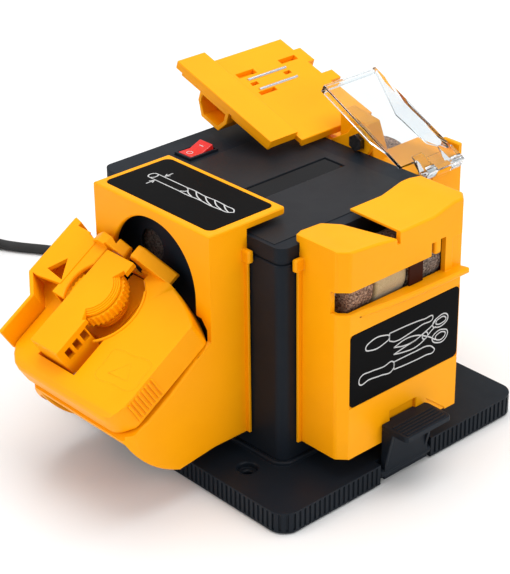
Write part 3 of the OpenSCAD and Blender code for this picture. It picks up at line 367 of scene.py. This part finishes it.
def cleanWork(work, mergeFlats=True):
    bmesh.ops.remove_doubles(work, verts=work.verts, dist=meshSet["weld"])
    if mergeFlats:
        bmesh.ops.dissolve_limit(work, angle_limit=meshSet["flat"], verts=work.verts, edges=work.edges)
    bmesh.ops.connect_verts_concave(work, faces=work.faces)
    return work


def copySolid(node):
    work = bmesh.new()
    work.from_mesh(nodes[node].data)
    return cleanWork(work)


headFrame = Matrix.Translation(Vector((0, -91.8, 102.2)) * mm) @ Matrix.Rotation(math.radians(32.6), 4, "X")
trayFrame = Matrix.Translation(Vector((-14.6, 15, 150.1)) * mm) @ Matrix.Rotation(math.radians(18.4), 4, "Y")


def addBlock(work, low, high, frameMatrix=Matrix()):  # a box between two corners, in mm
    low, high = Vector(low) * mm, Vector(high) * mm
    size = high - low
    place = frameMatrix @ Matrix.Translation((low + high) / 2) @ Matrix.Diagonal((*size, 1))
    bmesh.ops.create_cube(work, size=1, matrix=place)


def addArcBlock(work, centre, inner, outer, low, high, start, end, frameMatrix=Matrix(), steps=40):
    corners = [(inner, low), (outer, low), (outer, high), (inner, high)]
    middle = Vector((centre[0], centre[1], 0)) * mm
    turn = Matrix.Rotation(math.radians(start), 4, "Z")
    verts = [work.verts.new(turn @ Vector((r * mm, 0, z * mm)) + middle) for r, z in corners]
    face = work.faces.new(verts)
    spun = bmesh.ops.spin(work, geom=[face, *face.edges, *verts], cent=middle, axis=(0, 0, 1),
                          angle=math.radians(end - start), steps=steps, use_merge=False, use_duplicate=False)
    made = {v for item in spun["geom_last"] if isinstance(item, bmesh.types.BMFace) for v in item.verts}
    island, queue = set(), list(made) + verts
    while queue:
        vert = queue.pop()
        if vert not in island:
            island.add(vert)
            queue.extend(e.other_vert(vert) for e in vert.link_edges)
    bmesh.ops.recalc_face_normals(work, faces=list({f for v in island for f in v.link_faces}))
    bmesh.ops.transform(work, matrix=frameMatrix, verts=list(island))


def cutSolid(work, fill, mergeFlats=True):  # takes the solids that fill() adds out of the solid in work
    cutter = bmesh.new()
    fill(cutter)
    if mergeFlats:
        bmesh.ops.triangulate(work, faces=work.faces)
    made = []
    for name, solid in (("stock", work), ("cutter", cutter)):
        mesh = bpy.data.meshes.new(name)
        solid.to_mesh(mesh)
        solid.free()
        made.append(linkObject(name, mesh))
    stock, cutter = made
    cut = stock.modifiers.new("cut", "BOOLEAN")
    cut.operation = "DIFFERENCE"
    cut.solver = "EXACT"
    cut.use_self = True
    cut.object = cutter
    depsgraph = bpy.context.evaluated_depsgraph_get()
    depsgraph.update()
    left = bpy.data.meshes.new_from_object(stock.evaluated_get(depsgraph))
    for item in made:
        bpy.data.objects.remove(item)
    work = bmesh.new()
    work.from_mesh(left)
    return cleanWork(work, mergeFlats)


def joinWork(piece, fill):
    work = bmesh.new()
    work.from_mesh(piece.data)
    fill(work)
    work.to_mesh(piece.data)
    work.free()


edgeSet = {
    "sharpest": 32,  # degrees; edges that turn less stay as they are
    "segments": 2,
    "share": 0.3,  # of a neighbouring edge that a bevel may use
    "inner": 0.2,  # inner corners stay nearly sharp
    "unknownTurn": 1.57,
    "leastTurn": 0.02,
    "leastReach": 0.05,
}
easeSet = {"tries": 5, "softTries": 2, "share": 0.4, "reach": 1.6}


def edgeRoom(edge, face, corner, sharp):  # the bevel that fits at one end
    other = next(e for e in face.edges if e is not edge and corner in e.verts)
    along = (edge.other_vert(corner).co - corner.co).normalized()
    away = (other.other_vert(corner).co - corner.co).normalized()
    turn = max(along.angle(away, edgeSet["unknownTurn"]), edgeSet["leastTurn"])
    least = edgeSet["leastReach"]
    reach = abs(1 / math.tan(turn / 2)) if other in sharp else 1 / max(math.sin(turn), least)
    share = edgeSet["share"] * min(other.calc_length(), edge.calc_length() if other in sharp else 1.0)
    return share / max(reach, least)


def markSoftEdges(work, width):
    weight = work.edges.layers.float.new("bevel_weight_edge")
    least = math.radians(edgeSet["sharpest"])
    sharp = {e for e in work.edges if len(e.link_faces) == 2 and e.calc_face_angle(0) > least}
    for edge in sharp:
        room = min(edgeRoom(edge, f, v, sharp) for f in edge.link_faces for v in edge.verts)
        edge[weight] = min(1.0 if edge.is_convex else edgeSet["inner"], room / width)


def crossings(piece):  # middles of the faces of a bevelled piece that cut through each other
    depsgraph = bpy.context.evaluated_depsgraph_get()
    depsgraph.update()
    work = bmesh.new()
    work.from_mesh(piece.evaluated_get(depsgraph).to_mesh())
    work.faces.ensure_lookup_table()
    tree = bvhtree.BVHTree.FromBMesh(work, epsilon=0.0)
    found = []
    for i, j in tree.overlap(tree):
        if i < j and not set(work.faces[i].verts) & set(work.faces[j].verts):
            a, b = work.faces[i], work.faces[j]
            small = a if a.calc_area() < b.calc_area() else b
            found.append(small.calc_center_median())
    work.free()
    return found


def easeCrossings(piece, width):  # takes the bevel off the edges beside such faces
    mesh = piece.data
    weight = mesh.attributes["bevel_weight_edge"].data
    for attempt in range(easeSet["tries"]):
        found = crossings(piece)
        if not found:
            break
        for index, edge in enumerate(mesh.edges):
            if weight[index].value > 0:
                a, b = (mesh.vertices[v].co for v in edge.vertices)
                for point in found:
                    near, share = intersect_point_line(point, a, b)
                    near = a if share < 0 else b if share > 1 else near
                    if (near - point).length < width * easeSet["reach"]:
                        soft = attempt < easeSet["softTries"]
                        weight[index].value = weight[index].value * easeSet["share"] if soft else 0.0
                        break
    if found or attempt:
        print(piece.name, "bevel eased", attempt, "times, crossings left:", len(found))


def finishPiece(name, work, material, body, replaced=(), width=0.7):
    markSoftEdges(work, width * mm)
    mesh = bpy.data.meshes.new(name)
    work.to_mesh(mesh)
    work.free()
    if "custom_normal" in mesh.attributes:
        mesh.attributes.remove(mesh.attributes["custom_normal"])
    piece = linkObject(name, mesh)
    mesh.materials.clear()
    mesh.materials.append(finishes[material] if isinstance(material, str) else material)
    for polygon in mesh.polygons:
        polygon.use_smooth = True
        polygon.material_index = 0
    mesh.set_sharp_from_angle(angle=math.radians(edgeSet["sharpest"] + 8))
    bevel = piece.modifiers.new("softEdges", "BEVEL")
    bevel.limit_method = "WEIGHT"
    bevel.width = width * mm
    bevel.segments = edgeSet["segments"]
    bevel.use_clamp_overlap = False
    bevel.profile = 0.5
    bevel.material = -1
    bevel.harden_normals = False
    easeCrossings(piece, width * mm)
    shade = piece.modifiers.new("evenShade", "WEIGHTED_NORMAL")
    shade.keep_sharp = True
    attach(piece, body)
    if replaced:
        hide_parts(*replaced)
    return piece


def newPiece(name, fill, finish, body, width, cut=None):
    work = bmesh.new()
    fill(work)
    if cut:
        work = cutSolid(work, cut)
    pieces[name] = finishPiece(name, work, finish, body, (), width)


baseRibs = {
    "box": (-84.0, 106.0, -90.0, 90.0), "corner": 10.0, "pitch": 3.5, "width": 1.5, "depth": 0.75,
    "low": 2.0, "high": 11.9, "notch": 20.5,  # half width kept plain at each latch
}


def edgeStations(b):  # points and outward headings along the rounded outline, one for each groove
    left, right, front, rear = b["box"]
    r = b["corner"]
    runs = [((right, front + r), (right, rear - r), 0), ((right - r, rear), (left + r, rear), 90),
            ((left, rear - r), (left, front + r), 180), ((left + r, front), (right - r, front), 270)]
    stations = []
    for start, end, heading in runs:
        a, z = Vector(start), Vector(end)
        count = round((z - a).length / b["pitch"])
        stations += [(*a.lerp(z, (i + 0.5) / count), heading) for i in range(count)]
        count = round(r * math.pi / 2 / b["pitch"])
        inward = Vector((math.cos(math.radians(heading)), math.sin(math.radians(heading)))) * r
        centre = z - inward
        for i in range(count):
            turn = math.radians(heading + 90 * (i + 0.5) / count)
            stations.append((centre.x + r * math.cos(turn), centre.y + r * math.sin(turn), math.degrees(turn)))
    return stations


def addRibGrooves(work):
    b = baseRibs
    for x, y, heading in edgeStations(b):
        plain = abs(y) < b["notch"] and x > 100 or abs(x) < b["notch"] and abs(y) > 85
        if not plain:
            turn = Matrix.Translation(Vector((x, y, 0)) * mm) @ Matrix.Rotation(math.radians(heading), 4, "Z")
            addBlock(work, (-b["depth"], -b["width"] / 2, b["low"]), (1.0, b["width"] / 2, b["high"]), turn)


wheelSet = {
    "centre": (-15.5, -14.5),
    "arc": 62,  # half of the clamp bar's round end, in degrees
    "plate": 12.2,
    "clear": 19,
    "cutHeight": (8.6, 12.6),
    "leftOfPlate": ((-36, -33), (-26.5, 4)),
    "steps": ((13.2, 11.45), (14.2, 10.9), (15.2, 10.35)),  # radius, top
    "stepWidth": 1.6,
    "stepFoot": 9.0,
    "neck": 11.5,
    "neckHeight": (-7, 2.4),
    "thread": {"count": 4, "start": -5.4, "pitch": 2, "height": 0.9, "root": 1, "crest": 0.7},
}


def cutClampRound(work):
    w = wheelSet
    low, high = w["cutHeight"]
    near, far = w["leftOfPlate"]
    addArcBlock(work, w["centre"], w["plate"], w["clear"], low, high, -w["arc"], w["arc"], headFrame)
    addBlock(work, (*near, low), (*far, high), headFrame)


def addClampSteps(work):
    w = wheelSet
    for radius, top in w["steps"]:
        addArcBlock(work, w["centre"], radius - w["stepWidth"], radius, w["stepFoot"], top, -w["arc"], w["arc"],
                    headFrame)


def cutWheelNeck(work):
    w = wheelSet
    for half in (0, 180):
        addArcBlock(work, w["centre"], w["neck"], w["clear"], *w["neckHeight"], half, half + 180, headFrame)


def addWheelThread(work):
    w = wheelSet
    turns = w["thread"]
    inner, outer = w["neck"] - turns["root"], w["neck"] + turns["crest"]
    for i in range(turns["count"]):
        low = turns["start"] + turns["pitch"] * i
        for half in (0, 180):
            addArcBlock(work, w["centre"], inner, outer, low, low + turns["height"], half, half + 180, headFrame)


mouldings = {  # node: (piece, slot, body, edge radius in mm)
    "base_plate": ("baseTray", "black_plastic", "machine", 0.9),
    "body_housing": ("housingShell", "black_plastic", "machine", 1.5),
    "body_lid": ("lidShell", "black_plastic", "machine", 1.1),
    "lid_inlay": ("lidInlay", "dark_window", "machine", 0.2),
    "switch_housing": ("switchBezel", "black_plastic", "machine", 0.35),
    "rocker_button": ("rockerButton", "red_plastic", "rocker", 0.35),
    "drill_station": ("drillShell", "orange_plastic", "machine", 1.1),
    "drill_label": ("drillLabel", "label_black", "machine", 0.2),
    "drill_wheel_guard": ("wheelGuard", "black_plastic", "machine", 0.4),
    "drill_head": ("drillHead", "orange_plastic", "head", 1.5),
    "clamp_bar": ("clampBar", "orange_plastic", "clamp", 0.6),
    "thumb_wheel": ("thumbWheel", "orange_plastic", "thumb", 0.3),
    "knife_station": ("knifeShell", "orange_plastic", "machine", 1.2),
    "knife_label": ("knifeLabel", "label_black", "machine", 0.2),
    "chisel_station": ("chiselShell", "orange_plastic", "machine", 1.0),
    "tray_arm": ("trayArm", "orange_plastic", "arm", 0.5),
    "chisel_tray": ("chiselTray", "orange_plastic", "tray", 0.5),
    "clear_shield": ("clearShield", "clear_plastic", "shield", 0.4),
    "knife_latch": ("knifeLatch", "black_plastic", "knife_clip", 0.5),
    "drill_latch": ("drillLatch", "black_plastic", "drill_clip", 0.5),
    "chisel_latch": ("chiselLatch", "black_plastic", "chisel_clip", 0.5),
    "strain_relief": ("strainRelief", "rubber", "machine", 0.3),
    "mains_plug": ("mainsPlug", "rubber", "machine", 1.0),
    "rubber_feet": ("rubberFeet", "rubber", "machine", 0.3),
    "drill_wheel": ("drillWheel", "grey_grit", "rotor", 0.6),
    "chisel_wheel": ("chiselWheel", "brown_grit", "rotor", 0.6),
    "coarse_knife_wheel": ("coarseWheel", "brown_grit", "knife_rotor", 0.7),
    "felt_knife_wheel": ("feltWheel", "felt", "knife_rotor", 1.2),
    "fine_knife_wheel": ("fineWheel", "grey_grit", "knife_rotor", 0.7),
    "cooling_fan": ("coolingFan", "white_plastic", "rotor", 0.3),
}
knifeCuts = {
    "underLid": ((65.0, -8.0, 135.0), (99.6, 15.0, 142.3)),
    "web": ((99.9, 2.9, 109.06), (101.75, 13.7, 121.44)),
# the orange web is cut out here and put back as windowWeb in painted shade
}
labelCorner = 3.0


def cutKnifeTop(work):  # leaves the right part of the top as a thin lid, and opens the window from end to end
    addBlock(work, *knifeCuts["underLid"])
    addBlock(work, *knifeCuts["web"])


def roundCorners(work, radius):
    along = [e for e in work.edges if abs((e.verts[0].co - e.verts[1].co).normalized().x) > 0.99]
    bmesh.ops.bevel(work, geom=along, offset=radius * mm, offset_type="OFFSET", segments=6, profile=0.5,
                    affect="EDGES", material=-1)


carvings = {"base_plate": addRibGrooves, "clamp_bar": cutClampRound, "thumb_wheel": cutWheelNeck,
            "knife_station": cutKnifeTop}
pieces = {}
for node, (name, slotName, body, width) in mouldings.items():
    solid = copySolid(node)
    if node in carvings:
        solid = cutSolid(solid, carvings[node], node != "base_plate")  # the ribs need their flats kept
    if node == "knife_label":
        roundCorners(solid, labelCorner)
    pieces[name] = finishPiece(name, solid, slotName, body, (node,), width)
# the drill wheel takes the darker grit copy: painted shade of the station's dark inside
pieces["drillWheel"].data.materials[0] = finishes["cavity_shade_grit"]
print("mouldings made,", len(pieces))

joinWork(pieces["clampBar"], addClampSteps)
joinWork(pieces["thumbWheel"], addWheelThread)
print("clamp detailed")


panelSet = {
    "panel": ((-40.5, -55.5, 139.4), (63.5, 44.5, 139.8)),
    "inlay": ((3.9, -40.1, 139.0), (19.7, 38.1, 141)),
}
floorSet = {"block": ((-60, 24, -5.9), (-36, 72, -5.15))}
webSet = {"block": ((100.0, 3.3, 109.1), (101.2, 13.4, 121.3))}
cheekSet = {"depth": (-83.1, -80.4), "corners": ((38.5, 98.1), (43.1, 98.1), (43.1, 92.5))}  # x, z
tieSet = {"inner": (26.3, 46.7, 13.3), "thickness": 0.8, "width": 7.0, "foot": 0.4,
          "clear": 20, "below": -5}  # a strap over the coil's near side
flangeSet = {"half": 46.0, "reach": 2.6, "low": 24.6, "high": 131.0, "overlap": 0.4,
             "bands": {"drillFlanges": ("y", -60.3, -58.7), "knifeFlanges": ("x", 71.9, 73.5)}}
lipSet = {"centre": (-15.5, -14.5), "radii": (23.9, 25.2), "height": (-0.7, 0.8), "arc": (-58, 40)}


def addLidPanel(work):
    addBlock(work, *panelSet["panel"])


def cutInlayGap(work):
    addBlock(work, *panelSet["inlay"])


def addTrayFloor(work):
    addBlock(work, *floorSet["block"], trayFrame)


def addCheek(work):  # closes the corner beside the arch, above the drill head's shoulder
    near, far = cheekSet["depth"]
    face = work.faces.new([work.verts.new(Vector((x, near, z)) * mm) for x, z in cheekSet["corners"]])
    grown = bmesh.ops.extrude_face_region(work, geom=[face], use_keep_orig=True)["geom"]
    verts = [v for v in grown if isinstance(v, bmesh.types.BMVert)]
    bmesh.ops.translate(work, vec=Vector((0, far - near, 0)) * mm, verts=verts)
    bmesh.ops.recalc_face_normals(work, faces=work.faces)


def addTie(work):
    c = tieSet
    near, far, top = c["inner"]
    t, w = c["thickness"], c["width"] / 2
    x, y = cordSet["coilCentre"]
    addBlock(work, (x - w, y - far - t, c["foot"]), (x + w, y - near + t, top + t))


def cutTie(work):
    c = tieSet
    near, far, top = c["inner"]
    x, y = cordSet["coilCentre"]
    addBlock(work, (x - c["clear"], y - far, c["below"]), (x + c["clear"], y - near, top))


def addWindowWeb(work):
    addBlock(work, *webSet["block"])


def addFlanges(work, axis, near, far):  # a thin upright strip down each rear edge of a station
    c = flangeSet
    for side in (-1, 1):
        edge, tip = sorted((side * (c["half"] - c["overlap"]), side * (c["half"] + c["reach"])))
        low, high = ((edge, near), (tip, far)) if axis == "y" else ((near, edge), (far, tip))
        addBlock(work, (*low, c["low"]), (*high, c["high"]))


def addWellLip(work):
    c = lipSet
    addArcBlock(work, c["centre"], *c["radii"], *c["height"], *c["arc"], headFrame)


newPiece("lidPanel", addLidPanel, "lid_grey", "machine", 0.15, cutInlayGap)
newPiece("trayFloor", addTrayFloor, "orange_plastic", "tray", 0.2)
newPiece("archCheek", addCheek, "orange_plastic", "machine", 0.2)
newPiece("cordTie", addTie, "rubber", "machine", 0.25, cutTie)
# the web in the knife window, in dark brown: painted shade where the orange web lies deep in shadow
newPiece("windowWeb", addWindowWeb, "painted_shade_plastic", "machine", 0.2)
for name, band in flangeSet["bands"].items():
    newPiece(name, lambda work: addFlanges(work, *band), "orange_plastic", "machine", 0.35)
newPiece("wellLip", addWellLip, "orange_plastic", "head", 0.35)
print("lid panel, tray floor, cheek, tie, flanges and well lip added")

drillMark = [
    ("line", [(-29.6, -52.9), (-5.5, -52.9)]), ("line", [(-29.6, -58.7), (-5.5, -58.7)]),
    ("ring", [(-32.2, -55.8), (-29.8, -52.9), (-27.6, -55.8), (-29.8, -58.7)]),
    ("curve", [(-5.5, -52.9), (-2.6, -55.5), (-5.5, -58.7)]),
    ("curve", [(-5.5, -52.9), (-1, -52.6), (8, -53.2), (17, -52.7), (26, -53.2), (31, -53.3), (33.6, -55.6)]),
    ("curve", [(-5.5, -58.7), (1, -58.9), (10, -58.3), (19, -58.8), (27, -58.2), (31, -57.8), (33.6, -55.6)]),
    ("curve", [(-4.5, -53.2), (-1, -56.4), (4, -58.4)]), ("curve", [(1.5, -53), (6, -56.2), (12, -58.3)]),
    ("curve", [(9, -53.2), (14, -56.4), (20, -58.5)]), ("curve", [(16, -53), (21, -56.2), (27, -58)]),
    ("curve", [(23.5, -53.3), (28, -56), (31.5, -57.4)]),
    ("line", [(-24.6, -46.6), (-24.6, -52)]), ("line", [(-26, -49.6), (-24.6, -52.2), (-23.2, -49.6)]),
    ("line", [(-24.6, -65), (-24.6, -59.6)]), ("line", [(-26, -62), (-24.6, -59.4), (-23.2, -62)]),
]
bladeMark = [
    ("ring", [(-29.6, 86), (-26, 88.8), (-16, 88.6), (-12.2, 86.2), (-16, 83.9), (-26, 83.7)]),
    ("line", [(-12.2, 88.4), (-12.2, 83.8)]),
    ("curve", [(-12.2, 88.3), (4, 87.8), (14, 86.8), (20.6, 85.5), (12, 84), (2, 82.4), (-8, 82), (-12.2, 83.8)]),
    ("curve", [(-8.8, 78.6), (0, 80.3), (9, 79), (14.5, 76.5), (19, 74), (23, 71)]),
    ("curve", [(-8.8, 78.6), (0, 76.6), (8, 76.8), (14, 78.6), (19.5, 80.4), (23, 82.8)]),
    ("curve", [(-8.8, 74.5), (-1, 73), (8, 72.4), (15, 74.6), (19.6, 77.6), (23, 79)]),
    ("curve", [(-8.8, 74.5), (0, 75.8), (8, 76.6)]),
    ("ring", [(12.8, 76.6), (14.9, 78.6), (17, 76.6), (14.9, 74.6)]),
    ("ring", [(20.5, 80.6), (25, 84), (31, 83.6), (32.3, 80.4), (29, 78), (23.5, 78.2)]),
    ("ring", [(23, 81), (26, 82.8), (30, 82.2), (30.8, 80.4), (28, 79.4), (24.5, 79.6)]),
    ("ring", [(20.5, 72.6), (23.5, 75.2), (29, 75), (32.5, 72.4), (30.6, 68.6), (25, 68.4)]),
    ("ring", [(23, 72.2), (25.4, 73.8), (29, 73.6), (30.8, 72), (29.2, 69.9), (25.6, 69.8)]),
    ("ring", [(-34, 68.6), (-32.5, 71), (-26, 71.2), (-16, 70.2), (-9, 70.4), (-9, 65.8), (-18, 65.8), (-27, 66.8),
              (-33, 66.2)]),
    ("line", [(-8.2, 70.4), (-8.2, 65.4)]),
    ("curve", [(-8.2, 70), (8, 69.8), (18, 69.2), (21.6, 66.8), (22.6, 64.8), (16, 64.4), (0, 64.8),
               (-8.2, 65.4)]),
]


def makeMark(name, strokes, frameMatrix, body, width, material, slotName):  # flat rods, just proud of a face
    curve = bpy.data.curves.new(name, "CURVE")
    curve.dimensions = "3D"
    curve.bevel_depth = width / 2 * mm
    curve.bevel_resolution = 1
    curve.resolution_u = 6
    curve.use_fill_caps = True
    for kind, points in strokes:
        spline = curve.splines.new("BEZIER")
        spline.bezier_points.add(len(points) - 1)
        spline.use_cyclic_u = kind == "ring"
        for knot, (x, y) in zip(spline.bezier_points, points):
            knot.co = (x * mm, y * mm, 0)
            knot.handle_left_type = knot.handle_right_type = "VECTOR" if kind == "line" else "AUTO"
    drawn = linkObject("drawn", curve)
    depsgraph = bpy.context.evaluated_depsgraph_get()
    depsgraph.update()
    mesh = bpy.data.meshes.new_from_object(drawn.evaluated_get(depsgraph))
    mesh.name = name
    bpy.data.objects.remove(drawn)
    mesh.transform(frameMatrix @ Matrix.Diagonal((1, 1, 0.3, 1)))
    work = bmesh.new()
    work.from_mesh(mesh)
    bmesh.ops.remove_doubles(work, verts=work.verts, dist=1e-6)
    work.to_mesh(mesh)
    work.free()
    mesh.materials.clear()
    mesh.materials.append(material)
    piece = linkObject(name, mesh)
    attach(piece, body)
    return piece


headMark = [
    ("ring", [(14.8, -32.6), (27, -31.2), (38.6, -30.0), (40.6, -31.6), (41, -39), (41.4, -46), (39.6, -47.9),
              (27, -49.3), (16, -50.6), (13.6, -49), (13.4, -41), (13, -34)]),
    ("line", [(20.5, -45.5), (34.5, -44.2), (28.4, -35.2), (20.5, -45.5)]),
]
rockerOnMark = [("line", [(-1.7, 4.4), (1.7, 4.4)])]
rockerOffMark = [("ring", [(-1.7, -4.4), (0, -2.7), (1.7, -4.4), (0, -6.1)])]

onSaddle = Matrix.Translation((0, 0, 0.14702))
onKnifeSide = Matrix(((0, 0, 1, 0.10282), (1, 0, 0, 0), (0, 1, 0, 0), (0, 0, 0, 1)))
rockerSet = {"pivot": (-50.5, -8, 138), "tilt": 10, "face": 2.84, "lean": 11}  # mm and degrees


def onRocker(c, side):
    place = Matrix.Translation(Vector(c["pivot"]) * mm) @ Matrix.Rotation(math.radians(c["tilt"]), 4, "X")
    lift = Matrix.Translation(Vector((0, 0, c["face"])) * mm)
    return place @ lift @ Matrix.Rotation(math.radians(side * c["lean"]), 4, "X")


white = (inkWhite, "white_plastic")
makeMark("drillMark", drillMark, onSaddle, "machine", 0.75, *white)
makeMark("bladeMark", bladeMark, onKnifeSide, "machine", 0.75, *white)
makeMark("rockerOnMark", rockerOnMark, onRocker(rockerSet, 1), "rocker", 0.5, *white)
makeMark("rockerOffMark", rockerOffMark, onRocker(rockerSet, -1), "rocker", 0.45, *white)
makeMark("headMark", headMark, headFrame, "head", 0.5, finishes["orange_plastic"], "orange_plastic")
print("marks drawn")


plainNodes = {
    "steel": ("housing_screws", "motor_strap", "front_end_cap", "rear_end_cap", "front_bearing", "rear_bearing",
              "wall_bearing", "motor_shaft", "knife_spindle", "driven_pulley", "drive_pulley", "spindle_brackets",
              "head_pivot_pin", "guide_rods", "shield_pin", "latch_pins", "plug_pins"),
    "dark_steel": ("tray_pivot_bolt",),
    "motor_grey": ("motor_can", "motor_mount"),
    "magnet": ("field_magnets",),
    "copper": ("commutator",),
    "laminations": ("armature_core",),
    "rubber": ("drive_belt",),
}
for slotName, members in plainNodes.items():
    for member in members:
        nodes[member].data.materials.clear()
        nodes[member].data.materials.append(finishes[slotName])
print("inner parts finished")


studio = {
    "floor": 0.86,
    "sky": 0.62,
    "lamps": {  # name: (place, target, size, power)
        "overhead": ((-0.1, 0.25, 1.7), (0, 0, 0.1), 1.6, 23),
        "frontFill": ((-0.55, -1.5, 0.75), (0, 0, 0.1), 1.1, 8),
        "sideFill": ((1.6, 0.35, 0.8), (0, 0, 0.1), 1.1, 8),
    },
}


def addStudio(s):
    floor = bmesh.new()
    bmesh.ops.create_grid(floor, x_segments=1, y_segments=1, size=4)
    mesh = bpy.data.meshes.new("studioFloor")
    floor.to_mesh(mesh)
    floor.free()
    ground = linkObject("studioFloor", mesh)
    paint = bpy.data.materials.new("studioPaper")
    paint.use_nodes = True
    shader = paint.node_tree.nodes["Principled BSDF"]
    shader.inputs["Base Color"].default_value = (s["floor"],) * 3 + (1,)
    shader.inputs["Roughness"].default_value = 0.9
    shader.inputs["Specular IOR Level"].default_value = 0.1
    mesh.materials.append(paint)
    for name, (place, target, size, power) in s["lamps"].items():
        lamp = bpy.data.lights.new(name, "AREA")
        lamp.size = size
        lamp.energy = power
        holder = linkObject(name, lamp)
        holder.location = place
        holder.rotation_mode = "QUATERNION"
        holder.rotation_quaternion = (Vector(place) - Vector(target)).to_track_quat("Z", "Y")
    world = bpy.data.worlds.new("studioSky")
    scene.world = world
    world.use_nodes = True
    tree = world.node_tree
    sky = tree.nodes["Background"]
    sky.inputs["Color"].default_value = (1, 1, 1, 1)
    sky.inputs["Strength"].default_value = s["sky"]
    white = tree.nodes.new("ShaderNodeBackground")
    white.inputs["Strength"].default_value = 1.0
    white.inputs["Color"].default_value = (1, 1, 1, 1)
    path = tree.nodes.new("ShaderNodeLightPath")
    seen = mathNode(tree, "MAXIMUM", path.outputs["Is Camera Ray"], path.outputs["Is Transmission Ray"])
    mix = tree.nodes.new("ShaderNodeMixShader")
    tree.links.new(seen, mix.inputs[0])
    tree.links.new(sky.outputs[0], mix.inputs[1])
    tree.links.new(white.outputs[0], mix.inputs[2])
    tree.links.new(mix.outputs[0], tree.nodes["World Output"].inputs["Surface"])


addStudio(studio)
print("studio lit")
